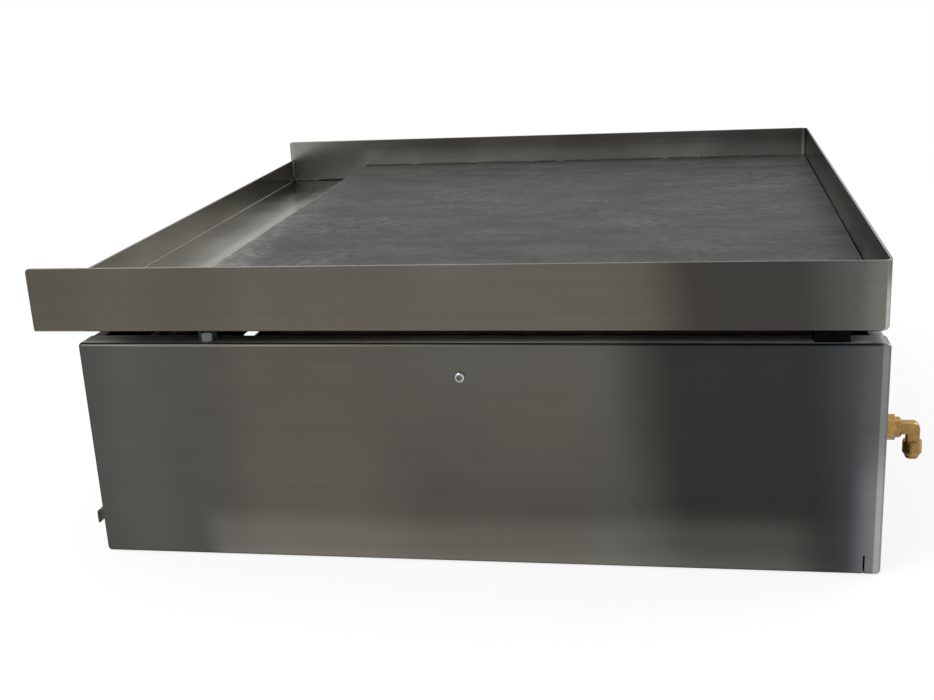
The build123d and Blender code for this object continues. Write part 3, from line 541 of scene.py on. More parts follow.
def steel_finish(
    name,
    colour,
    warm,
    roughness,
    cool_reflection=None,
    lines=1300.0,
    flat_along_x=0.0,
    reflection_bands=None,
    patches=0.10,
    patch_size=9.0,
    scratches=0.0,
    edge_highlight=1.25,
    bend_highlight=1.35,
    # Gain of painted light on faces that look up
    flat=1.0,
    inside=None,
    grazing=1.0,
    dull_flats=False,
):
    """Brushed or ground steel of close colours that drift into each other, with painted highlights on
    edges and folds and painted light on faces that look up; bands of painted reflection go with a cool
    colour, and inside paints reflections and shade.
    """
    metal_of_flats = 0.45
    finish, tree, inputs = new_finish(name, Metallic=1.0, Specular_Tint=(grazing, grazing, grazing, 1))
    brushed = use_group(tree, brushed_grain, Lines=lines, Flat_Along_X=flat_along_x)
    cloud = use_group(tree, mottling, Size=patch_size)
    rim = use_group(tree, rounded_edges)
    marks = use_group(tree, fine_scratches, Amount=scratches)
    if reflection_bands:
        stretches = use_group(tree, painted_reflection_bands, **reflection_bands)
        outer = stretches["Tone"]
        drift = slope(tree, cloud["Slow"], 0.4, 0.6, start=0.6, end=1.0)
        drift = product(tree, stretches["Warm"], drift)
        base = blend_colours(tree, drift, colour, warm)
        base = blend_colours(tree, stretches["Cool"], base, cool_reflection)
    else:
        outer = 1.0
        drift = slope(tree, cloud["Slow"], 0.4, 0.6)
        base = blend_colours(tree, drift, colour, warm)
    # Painted highlights on edges and folds, and painted light on faces that look up
    for mask, gain in (("Edge", edge_highlight), ("Bend", bend_highlight), ("Flat", flat)):
        gain = gain(tree) if callable(gain) else gain
        outer = product(tree, outer, gained(tree, rim[mask], gain))
    if inside:
        mask, inner = inside(tree, rim["Flat"])
        outer = blend_values(tree, mask, outer, inner)
        base = blend_colours(tree, mask, base, colour)
    tone = varied(tree, 1.0, (brushed["Grain"], 0.24), (brushed["Streak"], 0.10), (cloud["Mask"], patches))
    tone = product(tree, maths(tree, "ADD", tone, marks["Mask"]), outer)
    tree.links.new(scaled(tree, base, tone), inputs["Base Color"])
    if dull_flats:
        tree.links.new(gained(tree, rim["Flat"], metal_of_flats), inputs["Metallic"])
    rough = varied(tree, roughness, (brushed["Grain"], 0.08), (cloud["Mask"], 0.06))
    tree.links.new(rough, inputs["Roughness"])
    raised(tree, inputs, brushed["Grain"], rim["Normal"], strength=0.02)
    return finish


def plate_finish():
    """Thick griddle plate: ground, oiled, cloudy, speckled and scraped pale along its front edge, with a
    painted highlight along its edges.
    """
    oiled = (0.106, 0.104, 0.098, 1)
    dry = (0.128, 0.127, 0.123, 1)
    grazing = (0.45, 0.45, 0.45, 1)
    ragged_by = 0.05
    edge_highlight_gain = 2.6
    finish, tree, inputs = new_finish("griddle_plate_steel", Metallic=1.0, Specular_Tint=grazing)
    brushed = use_group(tree, brushed_grain, Lines=600.0, Run=22.0)
    cloud = use_group(tree, mottling, Size=40.0, Stretch=2.6, Low=0.30, High=0.74)
    wide = use_group(tree, mottling, Size=4.6, Stretch=1.4, Low=0.34, High=0.68)
    bloom = use_group(tree, mottling, Size=18.0, Stretch=2.4, Low=0.46, High=0.68)
    marks = use_group(tree, fine_scratches, Amount=0.10)
    rim = use_group(tree, rounded_edges, Radius=2.2 * MM)
    coords, x, y, _ = position(tree)
    speckle = slope(tree, grains(tree, coords, 130.0, detail=4.0, roughness=0.75), 0.40, 0.66)
    pale = product(tree, bloom["Mask"], speckle)
    rags = grains(tree, coords, 26.0, detail=4.0, roughness=0.7)
    ragged = maths(tree, "MULTIPLY_ADD", rags, -ragged_by, y)
    scraped = slope(tree, ragged, plate_low.y - 22 * MM, plate_low.y + 12 * MM, start=1.0, end=0.0)
    scraped = product(tree, scraped, slope(tree, speckle, 0.0, 1.0, start=0.55, end=1.0))
    scraped = product(tree, scraped, slope(tree, x, *SCRAPED_LEFT, start=0.2, end=1.5))
    tone = varied(tree, 1.0, (brushed["Grain"], 0.24), (brushed["Streak"], 0.20), (cloud["Mask"], 0.12))
    tone = varied(tree, tone, (speckle, 0.17))
    for mask, share in ((pale, 0.33), (scraped, 0.75), (marks["Mask"], 1.0)):
        tone = maths(tree, "ADD", tone, product(tree, mask, share))
    # Painted highlight along the plate's edges
    tone = product(tree, tone, gained(tree, rim["Edge"], edge_highlight_gain))
    tone = product(tree, tone, slope(tree, x, *PLATE_LEFT, start=0.86, end=1.0))
    colour = blend_colours(tree, wide["Mask"], oiled, dry)
    tree.links.new(scaled(tree, colour, tone), inputs["Base Color"])
    rough = varied(tree, 0.46, (brushed["Grain"], 0.08), (cloud["Mask"], 0.10), (wide["Mask"], -0.08))
    tree.links.new(rough, inputs["Roughness"])
    raised(tree, inputs, speckle, rim["Normal"], strength=0.05, distance=0.3 * MM)
    return finish


def hot_finish(name, heat, patch_size, roughness):
    """Steel of the fire box: oxide colours, soot, a dull skin and painted highlights on its edges."""
    edge_highlight_gain = 1.6
    finish, tree, inputs = new_finish(name, Metallic=0.9)
    tint = use_group(tree, heat_tint, Heat=heat, Patches=patch_size)
    cloud = use_group(tree, mottling, Size=22.0, Low=0.3, High=0.7)
    brushed = use_group(tree, brushed_grain, Lines=300.0)
    rim = use_group(tree, rounded_edges)
    tone = varied(tree, 1.0, (brushed["Grain"], 0.3), (cloud["Mask"], 0.4))
    # Painted highlight on the edges
    tone = product(tree, tone, gained(tree, rim["Edge"], edge_highlight_gain))
    tree.links.new(scaled(tree, tint["Colour"], tone), inputs["Base Color"])
    tree.links.new(varied(tree, roughness, (cloud["Mask"], 0.2)), inputs["Roughness"])
    raised(tree, inputs, cloud["Mask"], rim["Normal"], strength=0.12, distance=0.4 * MM)
    return finish


def screw_highlight_and_shade(tree):
    """Gain of a screw's head: a painted highlight round its rim, darker about its cross."""
    cross_reach = 1.8 * MM
    rim_start = 2.3 * MM
    low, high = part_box("brace_screws")
    _, _, y, z = position(tree)
    across = maths(tree, "SUBTRACT", y, (low.y + high.y) / 2)
    up = maths(tree, "SUBTRACT", z, (low.z + high.z) / 2)
    squares = maths(tree, "MULTIPLY_ADD", across, across, product(tree, up, up))
    return slope(tree, maths(tree, "SQRT", squares), cross_reach, rim_start, start=0.55, end=1.7)


def smooth_metal(name, colour, dull, roughness, patch_size, edge_highlight=1.5, metallic=1.0, painted_light=None):
    """Turned, plated or forged metal with a dull film in its hollows, painted highlights on its edges and,
    where given, painted light over the surface.
    """
    finish, tree, inputs = new_finish(name, Metallic=metallic)
    cloud = use_group(tree, mottling, Size=patch_size, Low=0.3, High=0.72)
    brushed = use_group(tree, brushed_grain, Lines=900.0, Run=60.0)
    rim = use_group(tree, rounded_edges, Radius=0.5 * MM)
    # Painted light over the surface where given, and painted highlights on the edges
    tone = varied(tree, painted_light(tree) if painted_light else 1.0, (brushed["Grain"], 0.25))
    tone = product(tree, tone, gained(tree, rim["Edge"], edge_highlight))
    filmed = blend_colours(tree, cloud["Mask"], dull, colour)
    tree.links.new(scaled(tree, filmed, tone), inputs["Base Color"])
    rough = varied(tree, roughness, (cloud["Mask"], -0.14), (brushed["Grain"], 0.1))
    tree.links.new(rough, inputs["Roughness"])
    raised(tree, inputs, brushed["Grain"], rim["Normal"], strength=0.08)
    return finish


def moulded_finish(name, colour, worn, roughness, pebble, bump, coat=0.0):
    """Moulded plastic or glazed ceramic with a fine skin and paler worn edges."""
    finish, tree, inputs = new_finish(name, Coat_Weight=coat, Coat_Roughness=0.08)
    cloud = use_group(tree, mottling, Size=60.0, Low=0.3, High=0.7)
    rim = use_group(tree, rounded_edges, Radius=0.8 * MM)
    skin = grains(tree, position(tree)[0], pebble)
    tone = varied(tree, 1.0, (cloud["Mask"], 0.2), (skin, 0.2))
    worn_share = slope(tree, rim["Edge"], 0.1, 1.0, start=0.0, end=0.7)
    body = blend_colours(tree, worn_share, colour, worn)
    tree.links.new(scaled(tree, body, tone), inputs["Base Color"])
    tree.links.new(varied(tree, roughness, (cloud["Mask"], 0.14)), inputs["Roughness"])
    raised(tree, inputs, skin, rim["Normal"], strength=bump)
    return finish


# The brushed stainless colours of the casing, front, tray and drip tray are far darker than bare steel: a
# painted reflection of dark surroundings
finishes = {
    # Casing steel with painted reflection bands, painted highlights on its folds, and painted light and
    # shade on its top flange
    "panel": steel_finish(
        "casing_brushed_steel",
        (0.086, 0.088, 0.078, 1),
        (0.094, 0.086, 0.075, 1),
        roughness=0.33,
        cool_reflection=(0.082, 0.086, 0.091, 1),
        reflection_bands={"Ends": 1.2},
        bend_highlight=rear_fold_highlight(0.5, 0.75),
        flat=flange_light_and_shade,
        grazing=0.6,
        dull_flats=True,
    ),
    "front": steel_finish(
        "front_brushed_steel",
        (0.105, 0.108, 0.106, 1),
        (0.112, 0.110, 0.104, 1),
        roughness=0.32,
    ),
    # Tray steel with painted reflection bands, painted highlights on its folds, painted light on faces
    # that look up, and painted reflections and shade inside
    "tray": steel_finish(
        "griddle_tray_steel",
        (0.105, 0.102, 0.093, 1),
        (0.114, 0.102, 0.083, 1),
        roughness=0.24,
        cool_reflection=(0.101, 0.102, 0.093, 1),
        flat_along_x=1.0,
        reflection_bands={
            "Depth": 0.84,
            "Dark_Middle": 0.189,
            "Dark_Half": 0.050,
            "Warm_From": -0.4,
            "Warm_To": 0.175,
        },
        scratches=0.03,
        bend_highlight=rear_fold_highlight(1.35, 1.5),
        flat=1.35,
        inside=tray_reflections_and_shade,
        grazing=0.55,
    ),
    "drip": steel_finish(
        "drip_tray_steel",
        (0.075, 0.073, 0.070, 1),
        (0.062, 0.059, 0.055, 1),
        roughness=0.36,
        flat_along_x=1.0,
        patches=0.3,
        patch_size=16.0,
        scratches=0.2,
    ),
    "base": steel_finish(
        "base_dull_steel",
        (0.105, 0.104, 0.100, 1),
        (0.088, 0.086, 0.081, 1),
        roughness=0.42,
        patches=0.25,
        patch_size=12.0,
    ),
    "plate": plate_finish(),
    "firebox": hot_finish("firebox_dull_steel", heat=0.42, patch_size=9.0, roughness=0.46),
    "burner": hot_finish("burner_heat_tinted_steel", heat=0.30, patch_size=14.0, roughness=0.34),
    "grate": hot_finish("grate_rod_steel", heat=0.55, patch_size=30.0, roughness=0.42),
    "stud_weld": hot_finish("stud_weld_metal", heat=0.5, patch_size=160.0, roughness=0.5),
    "weld": smooth_metal(
        "dressed_weld", (0.26, 0.255, 0.24, 1), (0.13, 0.125, 0.115, 1),
        roughness=0.42, patch_size=300.0,
    ),
    "tack": smooth_metal(
        "dull_tack_weld", (0.075, 0.072, 0.066, 1), (0.035, 0.033, 0.03, 1),
        roughness=0.5, patch_size=300.0,
    ),
    "seam": smooth_metal(
        "bright_seam_weld", (0.27, 0.262, 0.245, 1), (0.19, 0.185, 0.172, 1),
        roughness=0.36, patch_size=60.0,
    ),
    # Near-black steel of the rear rests
    "black": smooth_metal(
        "near_black_steel", (0.005, 0.005, 0.005, 1), (0.003, 0.003, 0.003, 1),
        roughness=0.55, patch_size=60.0,
    ),
    # Zinc with strong painted highlights on its edges
    "zinc": smooth_metal(
        "zinc_plating", (0.13, 0.14, 0.14, 1), (0.075, 0.08, 0.08, 1),
        roughness=0.3, patch_size=90.0, edge_highlight=3.6, metallic=0.6,
    ),
    # Screw with a painted highlight round its head's rim
    "screw": smooth_metal(
        "bright_screw", (0.28, 0.30, 0.295, 1), (0.22, 0.235, 0.23, 1),
        roughness=0.25, patch_size=90.0, edge_highlight=1.0, painted_light=screw_highlight_and_shade,
    ),
    "brass": smooth_metal(
        "forged_brass", (0.36, 0.24, 0.085, 1), (0.25, 0.148, 0.048, 1),
        roughness=0.34, patch_size=110.0,
    ),
    "turned_brass": smooth_metal(
        "turned_brass", (0.42, 0.26, 0.085, 1), (0.25, 0.14, 0.045, 1),
        roughness=0.26, patch_size=130.0,
    ),
    "pipe": smooth_metal(
        "drawn_gas_pipe", (0.46, 0.46, 0.45, 1), (0.34, 0.335, 0.32, 1),
        roughness=0.36, patch_size=40.0,
    ),
    "char": moulded_finish(
        "burnt_joint", (0.012, 0.011, 0.010, 1), (0.05, 0.04, 0.03, 1),
        roughness=0.8, pebble=900.0, bump=0.5,
    ),
    "knob": moulded_finish(
        "knob_black_plastic", (0.014, 0.014, 0.014, 1), (0.05, 0.05, 0.05, 1),
        roughness=0.42, pebble=1600.0, bump=0.25,
    ),
    "igniter": moulded_finish(
        "igniter_black_plastic", (0.02, 0.02, 0.021, 1), (0.06, 0.06, 0.06, 1),
        roughness=0.36, pebble=900.0, bump=0.1,
    ),
    "button": moulded_finish(
        "igniter_red_plastic", (0.36, 0.018, 0.012, 1), (0.5, 0.09, 0.07, 1),
        roughness=0.25, pebble=500.0, bump=0.04, coat=0.4,
    ),
    "ceramic": moulded_finish(
        "electrode_ceramic", (0.72, 0.69, 0.61, 1), (0.8, 0.78, 0.72, 1),
        roughness=0.25, pebble=500.0, bump=0.04, coat=0.3,
    ),
    "marking": moulded_finish(
        "white_marking_paint", (0.72, 0.72, 0.70, 1), (0.6, 0.6, 0.58, 1),
        roughness=0.5, pebble=1500.0, bump=0.1,
    ),
}

finish_of_slot = {
    "stainless": "panel",
    "griddle_steel": "plate",
    "zinc": "zinc",
    "firebox_steel": "firebox",
    "burner_steel": "burner",
    "grate_steel": "grate",
    "brass": "turned_brass",
    "gas_pipe": "pipe",
    "knob_plastic": "knob",
    "button_plastic": "button",
    "igniter_plastic": "igniter",
    "electrode_ceramic": "ceramic",
}
finish_of_node = {
    "front_panel": "front",
    "rear_panel": "front",
    "knob_bezels": "front",
    "griddle_tray": "tray",
    "trough_front": "tray",
    "drip_tray": "drip",
    "base_panel": "base",
    "runner_left": "base",
    "runner_right": "base",
    "brace_screws": "screw",
    "rear_rests": "black",
}


def wear(thing, finish):
    """Gives an object one finish."""
    thing.data.materials.clear()
    thing.data.materials.append(finishes[finish])


for node, thing in nodes.items():
    wear(thing, finish_of_node.get(node, finish_of_slot[slot_of[node]]))


# Pieces


def piece(name, mesh, body, finish, sharp=35.0):
    """Turns a finished bmesh into a piece that rides on a body."""
    bmesh.ops.recalc_face_normals(mesh, faces=mesh.faces)
    data = bpy.data.meshes.new(name)
    mesh.to_mesh(data)
    mesh.free()
    for face in data.polygons:
        face.use_smooth = True
    data.set_sharp_from_angle(angle=math.radians(sharp))
    made = bpy.data.objects.new(name, data)
    scene.collection.objects.link(made)
    data.materials.append(finishes[finish])
    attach(made, body)
    return made


def ring(mesh, centre, across, up, radius, sides, flatten=1.0):
    """Ring of vertices about a centre, in the plane of two directions."""
    made = []
    for i in range(sides):
        angle = 2 * math.pi * i / sides
        offset = across * (math.cos(angle) * radius) + up * (math.sin(angle) * radius * flatten)
        made.append(mesh.verts.new(centre + offset))
    return made


def join_rings(mesh, rings, caps=True):
    """Skins a row of rings, with closed ends."""
    for first, second in zip(rings, rings[1:]):
        count = len(first)
        for i in range(count):
            j = (i + 1) % count
            mesh.faces.new((first[i], first[j], second[j], second[i]))
    if caps:
        mesh.faces.new(list(reversed(rings[0])))
        mesh.faces.new(rings[-1])


def weld_bead(mesh, start, end, radius):
    """Rippled weld bead from one point to another."""
    sides = 10
    least_steps = 6
    step_length = radius * 0.3
    ripple_length = radius * 1.6
    ripple_depth = 0.16
    end_bluntness = 10
    least_end = 0.06
    unevenness = 0.07
    sway = radius * 0.08
    run = end - start
    ahead = run.normalized()
    across = ahead.orthogonal().normalized()
    up = ahead.cross(across)
    steps = max(least_steps, int(run.length / step_length))
    rings = []
    for i in range(steps + 1):
        share = i / steps
        tip = math.sqrt(max(least_end, 1 - abs(2 * share - 1) ** end_bluntness))
        wave = 1 - ripple_depth * abs(math.sin(math.pi * share * run.length / ripple_length))
        size = radius * tip * wave * chance.uniform(1 - unevenness, 1 + unevenness)
        offset = across * chance.uniform(-sway, sway) + up * chance.uniform(-sway, sway)
        rings.append(ring(mesh, start + run * share + offset, across, up, size, sides))
    join_rings(mesh, rings)


def spatter(mesh, centre, reach, count, least, most):
    """Small beads of weld spatter strewn over a patch of the face they lie on."""
    flatness = 0.6
    for _ in range(count):
        spot = centre + Vector([chance.uniform(-r, r) for r in reach])
        size = chance.uniform(least, most)
        ball = bmesh.ops.create_icosphere(mesh, subdivisions=2, radius=size)
        for vert in ball["verts"]:
            vert.co = Vector((vert.co.x, vert.co.y, vert.co.z * flatness)) + spot


def add_thread(mesh, top, radius, depth, pitch, length, lead, sides):
    """Rings of a screw thread that runs down from a point, with a chamfered end."""
    rows_per_turn = 8
    rows = int(length / pitch * rows_per_turn)
    rings = []
    for row in range(rows + 1):
        drop = length * row / rows
        limit = radius - max(0.0, lead - (length - drop))
        around = []
        for i in range(sides):
            angle = 2 * math.pi * i / sides
            phase = (drop / pitch + i / sides) % 1.0
            size = min(limit, radius - depth * abs(2 * phase - 1))
            spot = Vector((math.cos(angle) * size, math.sin(angle) * size, -drop))
            around.append(mesh.verts.new(top + spot))
        rings.append(around)
    return rings


# Gas inlet: forged elbow with its flare thread

elbow_low, elbow_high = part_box("inlet_elbow")
THREAD_RADIUS = 6.35 * MM
THREAD_DEPTH = 0.55 * MM
THREAD_PITCH = 1.27 * MM
THREAD_LEAD = 0.9 * MM
THREAD_SIDES = 40
NECK_DROP = 0.45 * MM
NECK_RADIUS = 5.23 * MM
FLARE_RADIUS = 4.0 * MM
BORE_RADIUS = 3.2 * MM
BORE_DEPTH = 7.2 * MM
ROUND_STEPS = 6
ELBOW_HALF = 4.3 * MM
ELBOW_BEVEL = 1.9 * MM
ELBOW_ROUND = 4.5 * MM
ELBOW_DROP = 9.2 * MM
THREAD_LENGTH = 9.0 * MM
FLARE_LENGTH = 3.0 * MM
inlet_x = (elbow_low.x + elbow_high.x) / 2
leg_y = elbow_high.y - THREAD_RADIUS
inlet_z = elbow_high.z - ELBOW_HALF
thread_top = inlet_z - ELBOW_DROP

elbow = bmesh.new()
outline = [
    (elbow_low.y, inlet_z - ELBOW_HALF),
    (leg_y - ELBOW_HALF, inlet_z - ELBOW_HALF),
    (leg_y - ELBOW_HALF, thread_top),
    (leg_y + ELBOW_HALF, thread_top),
]
for step in range(ROUND_STEPS + 1):
    angle = math.pi / 2 * step / ROUND_STEPS
    outline.append(
        (
            leg_y + ELBOW_HALF - ELBOW_ROUND * (1 - math.cos(angle)),
            inlet_z + ELBOW_HALF - ELBOW_ROUND * (1 - math.sin(angle)),
        )
    )
outline.append((elbow_low.y, inlet_z + ELBOW_HALF))
cheek = elbow.faces.new([elbow.verts.new((inlet_x - ELBOW_HALF, y, z)) for y, z in outline])
pushed = bmesh.ops.extrude_face_region(elbow, geom=[cheek])
for item in pushed["geom"]:
    if isinstance(item, bmesh.types.BMVert):
        item.co.x += 2 * ELBOW_HALF
elbow.normal_update()
long_edges = [e for e in elbow.edges if abs(e.verts[0].co.x - e.verts[1].co.x) < TINY]
long_edges = [e for e in long_edges if max(v.co.z for v in e.verts) > thread_top + TINY]
long_edges = [e for e in long_edges if max(v.co.y for v in e.verts) > elbow_low.y + TINY]
bmesh.ops.bevel(elbow, geom=long_edges, offset=ELBOW_BEVEL, segments=2, profile=0.55, affect="EDGES")
leg = Vector((inlet_x, leg_y, thread_top))
rings = add_thread(
    elbow, leg, THREAD_RADIUS, THREAD_DEPTH, THREAD_PITCH, THREAD_LENGTH, THREAD_LEAD, THREAD_SIDES
)
for drop, radius in (
    (THREAD_LENGTH + NECK_DROP, NECK_RADIUS),
    (THREAD_LENGTH + FLARE_LENGTH, FLARE_RADIUS),
    (THREAD_LENGTH + FLARE_LENGTH, BORE_RADIUS),
    (THREAD_LENGTH + FLARE_LENGTH - BORE_DEPTH, BORE_RADIUS),
):
    rings.append(ring(elbow, leg - UP * drop, EAST, NORTH, radius, THREAD_SIDES))
join_rings(elbow, rings)
forging = piece("inlet_elbow_forging", elbow, "casing", "brass", sharp=28.0)
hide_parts("inlet_elbow")

# Threaded studs with their welds

stud_low, stud_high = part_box("leveller_studs")
STUD_RADIUS = 3.0 * MM
STUD_THREAD_DEPTH = 0.4 * MM
STUD_PITCH = 1.0 * MM
STUD_LEAD = 0.7 * MM
STUD_SIDES = 28
STUD_WELD = 4.6 * MM
STUD_WELD_RADIUS = 1.2 * MM
STUD_WELD_OUT = STUD_RADIUS + 0.25 * MM
STUD_WELD_DROP = 0.6 * MM
STUD_WELD_FLATNESS = 0.48
STUD_WELD_STEPS = 26
STUD_WELD_SIDES = 8
stud_length = stud_high.z - stud_low.z
stud_y = (stud_low.y + stud_high.y) / 2
stud_x = stud_high.x - STUD_WELD
studs = bmesh.new()
stud_welds = bmesh.new()
for side in (-1, 1):
    root = Vector((side * stud_x, stud_y, stud_high.z))
    rings = add_thread(
        studs, root, STUD_RADIUS, STUD_THREAD_DEPTH, STUD_PITCH, stud_length, STUD_LEAD, STUD_SIDES
    )
    join_rings(studs, rings)
    rings = []
    for i in range(STUD_WELD_STEPS):
        angle = 2 * math.pi * i / STUD_WELD_STEPS
        outward = Vector((math.cos(angle), math.sin(angle), 0))
        centre = root + outward * STUD_WELD_OUT - UP * STUD_WELD_DROP
        size = STUD_WELD_RADIUS * chance.uniform(0.82, 1.0)
        rings.append(ring(stud_welds, centre, outward, UP, size, STUD_WELD_SIDES, STUD_WELD_FLATNESS))
    rings.append(rings[0])
    join_rings(stud_welds, rings, caps=False)
threaded = piece("leveller_studs_threaded", studs, "griddle", "zinc", sharp=50.0)
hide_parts("leveller_studs")
piece("leveller_stud_welds", stud_welds, "griddle", "stud_weld")

# Welds in the trough and along the plate

CORNER_BEAD = 1.5 * MM
CORNER_IN = 0.4 * MM
CORNER_BEHIND = 0.3 * MM
CORNER_FOOT = 1.0 * MM
CORNER_HEAD = 0.8 * MM
SPATTER_IN = 10 * MM
SPATTER_BEHIND = 9 * MM
SPATTER_RISE = 0.1 * MM
SPATTER_REACH = (8 * MM, 7 * MM, 0.0)
SPATTER_COUNT = 9
SPATTER_RADII = (0.25 * MM, 0.7 * MM)
corner_welds = bmesh.new()
for side in (-1, 1):
    corner = Vector((side * (inner_x - CORNER_IN), wall_high.y + CORNER_BEHIND, 0))
    foot = corner + UP * (floor_z + CORNER_FOOT)
    head = corner + UP * (wall_high.z - CORNER_HEAD)
    weld_bead(corner_welds, foot, head, CORNER_BEAD)
    patch = Vector((side * (inner_x - SPATTER_IN), wall_high.y + SPATTER_BEHIND, floor_z + SPATTER_RISE))
    spatter(corner_welds, patch, SPATTER_REACH, SPATTER_COUNT, *SPATTER_RADII)
piece("trough_corner_welds", corner_welds, "griddle", "weld")

BEAD = 1.05 * MM
FOLD_SINK = 0.88 * MM
CHAR_LENGTHS = (18 * MM, 60 * MM)
CHAR_END = 6 * MM
LAST_CHAR_START = 40 * MM
TACK_LENGTHS = (3 * MM, 8 * MM)
TACK_CHANCE = 0.7
BEAD_GAP = 1 * MM
CHAR_RISE = 0.2 * MM
TACK_RISE = 0.3 * MM
joint_x = (plate_high.x + inner_x) / 2
# Burnt marks along the trough's ends, in millimetres: start behind the front wall, length, radius
burnt_marks = ((3, 26, 0.55), (28, 13, 0.8), (39, 17, 1.1), (55, 8, 0.8), (62, 6, 0.95), (67, 15, 0.75))
joint_char = bmesh.new()
plate_char = bmesh.new()
plate_tacks = bmesh.new()
for side in (-1, 1):
    for offset, length, radius in burnt_marks:
        start = Vector((side * (inner_x - FOLD_SINK), wall_high.y + offset * MM, floor_z + FOLD_SINK))
        weld_bead(joint_char, start, start + NORTH * length * MM, radius * MM)
    y = plate_low.y + BEAD_GAP
    while y < plate_high.y - LAST_CHAR_START:
        length = min(chance.uniform(*CHAR_LENGTHS), plate_high.y - CHAR_END - y)
        start = Vector((side * joint_x, y, plate_high.z + CHAR_RISE))
        end = start + NORTH * length
        weld_bead(plate_char, start, end, BEAD * chance.uniform(0.86, 1.0))
        y = end.y + BEAD_GAP
        length = chance.uniform(*TACK_LENGTHS)
        if chance.random() < TACK_CHANCE:
            start = Vector((side * joint_x, y, plate_high.z + TACK_RISE))
            weld_bead(plate_tacks, start, start + NORTH * length, BEAD)
        y += length + BEAD_GAP
piece("plate_tack_welds", plate_tacks, "griddle", "tack")
piece("plate_joint_char", plate_char, "griddle", "char")
piece("trough_joint_char", joint_char, "griddle", "char")

# Dressed weld along the foot of the trough's front wall

SEAM_LEG = 0.7 * MM
SEAM_SINK = 0.1 * MM
SEAM_END_GAP = 3.2 * MM
SEAM_STEPS = 5
seam = bmesh.new()
seam_half = inner_x - SEAM_END_GAP
rows = []
for end in (-seam_half, seam_half):
    row = [seam.verts.new((end, wall_high.y - SEAM_SINK, floor_z - SEAM_SINK))]
    for step in range(SEAM_STEPS + 1):
        angle = math.pi / 2 * step / SEAM_STEPS
        away = SEAM_LEG * (1 - math.sin(angle))
        rise = SEAM_LEG * (1 - math.cos(angle))
        row.append(seam.verts.new((end, wall_high.y + away, floor_z + rise)))
    rows.append(row)
join_rings(seam, rows)
piece("trough_seam_weld", seam, "griddle", "seam")

# Pointers in the knobs and marks on their bezels

POINTER_WIDTH = 2.0 * MM
POINTER_LENGTH = 12.0 * MM
POINTER_DEPTH = 0.6 * MM
POINTER_TOP = 15.0 * MM
POINTER_SLACK = 0.1 * MM
POINTER_SINK = 0.15 * MM
POINTER_CROWN = 0.15 * MM
POINTER_FOOT_GAP = 0.05 * MM
MARK_RADIUS = 24.4 * MM
MARK_RISE = 0.08 * MM
MARK_WIDE_HALF = 1.7 * MM
MARK_NARROW_HALF = 0.3 * MM
MARK_START = 100.0
MARK_SWEEP = 160.0
MARK_STEPS = 24
DOT_RADIUS = 1.5 * MM
DOT_TOP_RADIUS = 1.4 * MM
DOT_SIDES = 20


def knob_pointer(name, knob_x, knob_y, knob_z):
    """White inlay in the groove of a knob, crowned across its width."""
    inlay = bmesh.new()
    made = bmesh.ops.create_grid(inlay, x_segments=2, y_segments=6, size=0.5)
    middle_z = knob_z + POINTER_TOP - POINTER_LENGTH / 2
    for vert in made["verts"]:
        crown = POINTER_CROWN * (2 * abs(vert.co.x)) ** 2
        x = knob_x + vert.co.x * (POINTER_WIDTH - POINTER_SLACK)
        z = middle_z + vert.co.y * (POINTER_LENGTH - POINTER_SLACK)
        vert.co = Vector((x, knob_y + POINTER_SINK + crown, z))
    rise = bmesh.ops.extrude_face_region(inlay, geom=list(inlay.faces))
    for item in rise["geom"]:
        if isinstance(item, bmesh.types.BMVert):
            item.co.y = knob_y + POINTER_DEPTH - POINTER_FOOT_GAP
    piece(f"knob_{name}_pointer", inlay, f"knob_{name}", "marking")


def flame_mark(mesh, centre):
    """Tapered arc from a high to a low flame, and a dot at the top for off, about a knob's centre."""
    rise = -NORTH * MARK_RISE
    rows = []
    for i in range(MARK_STEPS + 1):
        share = i / MARK_STEPS
        angle = math.radians(MARK_START + MARK_SWEEP * share)
        outward = EAST * math.cos(angle) + UP * math.sin(angle)
        half = MARK_WIDE_HALF + (MARK_NARROW_HALF - MARK_WIDE_HALF) * share
        rows.append([centre + outward * radius for radius in (MARK_RADIUS - half, MARK_RADIUS + half)])
    for first, second in zip(rows, rows[1:]):
        corners = (first[0], first[1], second[1], second[0])
        low = [mesh.verts.new(corner) for corner in corners]
        high = [mesh.verts.new(corner + rise) for corner in corners]
        join_rings(mesh, [low, high])
    spot = centre + UP * MARK_RADIUS
    foot = ring(mesh, spot, EAST, UP, DOT_RADIUS, DOT_SIDES)
    head = ring(mesh, spot + rise, EAST, UP, DOT_TOP_RADIUS, DOT_SIDES)
    join_rings(mesh, [foot, head])


bezel_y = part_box("knob_bezels")[0].y
marks = bmesh.new()
for name in ("left", "middle", "right"):
    knob_low, knob_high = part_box(f"knob_{name}")
    middle = (knob_low + knob_high) / 2
    knob_pointer(name, middle.x, knob_low.y, middle.z)
    flame_mark(marks, Vector((middle.x, bezel_y, middle.z)))
bmesh.ops.remove_doubles(marks, verts=marks.verts, dist=TINY)
piece("bezel_flame_marks", marks, "casing", "marking")

# Floor, light, camera

WHITE = (1, 1, 1, 1)
FLOOR_GREY = (0.86, 0.86, 0.86, 1)
FLOOR_REACH = 30.0
FLOOR_DROP = 0.3 * MM
FLOOR_WHITENS = (0.6, 1.6)
SKY_STRENGTH = 0.55


def seen_directly(tree):
    """1 on rays from the camera and on those that metal or glass sends on."""
    rays = place(tree, "ShaderNodeLightPath").outputs
    seen = maths(tree, "MAXIMUM", rays["Is Camera Ray"], rays["Is Glossy Ray"])
    return maths(tree, "MAXIMUM", seen, rays["Is Transmission Ray"])


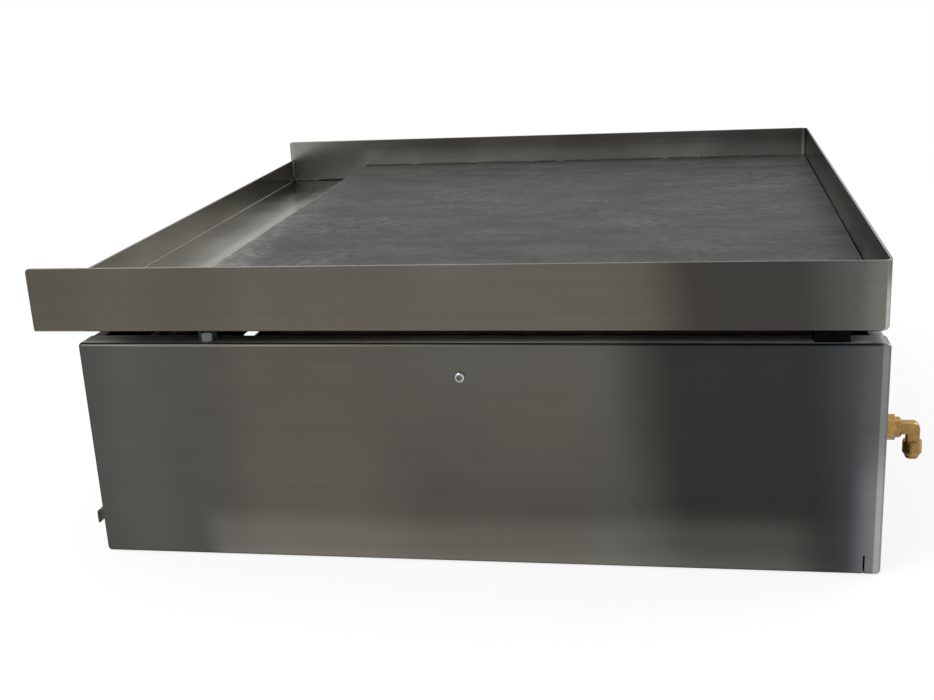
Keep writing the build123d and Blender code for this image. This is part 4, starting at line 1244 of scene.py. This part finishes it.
def mix_shaders(tree, factor, first, second, output):
    """Ends a tree with two shaders, mixed by a factor."""
    both = place(tree, "ShaderNodeMixShader")
    tree.links.new(factor, both.inputs[0])
    tree.links.new(first.outputs[0], both.inputs[1])
    tree.links.new(second.outputs[0], both.inputs[2])
    tree.links.new(both.outputs[0], place(tree, output).inputs["Surface"])


def floor_finish():
    """Pale floor that keeps the object's shadow and turns white further out, where it is seen."""
    finish = bpy.data.materials.new("pale_floor")
    finish.use_nodes = True
    tree = finish.node_tree
    tree.nodes.clear()
    matt = place(tree, "ShaderNodeBsdfDiffuse", {"Color": FLOOR_GREY})
    white = place(tree, "ShaderNodeEmission", {"Color": WHITE, "Strength": 1.0})
    away = place(tree, "ShaderNodeVectorMath", operation="LENGTH")
    tree.links.new(position(tree)[0], away.inputs[0])
    share = slope(tree, away.outputs["Value"], *FLOOR_WHITENS, start=0.8, end=1.0)
    factor = product(tree, seen_directly(tree), share)
    mix_shaders(tree, factor, matt, white, "ShaderNodeOutputMaterial")
    return finish


def studio_sky():
    """Even light from all round, white where it is seen."""
    sky = bpy.data.worlds.new("studio")
    sky.use_nodes = True
    tree = sky.node_tree
    tree.nodes.clear()
    dim = place(tree, "ShaderNodeBackground", {"Color": WHITE, "Strength": SKY_STRENGTH})
    bright = place(tree, "ShaderNodeBackground", {"Color": WHITE, "Strength": 1.0})
    mix_shaders(tree, seen_directly(tree), dim, bright, "ShaderNodeOutputWorld")
    return sky


floor_mesh = bpy.data.meshes.new("floor")
corners = [(x * FLOOR_REACH, y * FLOOR_REACH, 0) for x, y in ((-1, -1), (1, -1), (1, 1), (-1, 1))]
floor_mesh.from_pydata(corners, [], [(0, 1, 2, 3)])
floor_mesh.materials.append(floor_finish())
floor = bpy.data.objects.new("floor", floor_mesh)
floor.location.z = -FLOOR_DROP
scene.collection.objects.link(floor)
scene.world = studio_sky()


def soft_lamp(name, spot, target, size, power):
    """Square area lamp that looks at a point."""
    lamp = bpy.data.lights.new(name, "AREA")
    lamp.size = size
    lamp.energy = power
    made = bpy.data.objects.new(name, lamp)
    made.location = spot
    made.rotation_euler = (Vector(target) - Vector(spot)).to_track_quat("-Z", "Y").to_euler()
    scene.collection.objects.link(made)


soft_lamp("key_lamp", spot=(1.5, -1.3, 1.9), target=(0, 0, 0.1), size=1.5, power=46.0)
soft_lamp("rear_lamp", spot=(-0.9, 1.8, 1.7), target=(0, 0.1, 0.1), size=1.4, power=30.0)
soft_lamp("top_lamp", spot=(-0.5, -0.5, 2.4), target=(0, 0, 0.1), size=2.6, power=26.0)

CAMERA_SPOT = (1.06350, 0.14735, 0.39526)
CAMERA_TURNS = (72.792, 2.913, 99.693)
SENSOR_WIDTH = 36.0
LENS_LENGTH = 48.195
lens = bpy.data.cameras.new("camera")
lens.sensor_fit = "HORIZONTAL"
lens.sensor_width = SENSOR_WIDTH
lens.lens = LENS_LENGTH
camera = bpy.data.objects.new("camera", lens)
camera.location = CAMERA_SPOT
camera.rotation_euler = Euler([math.radians(turn) for turn in CAMERA_TURNS], "XYZ")
scene.collection.objects.link(camera)
scene.camera = camera
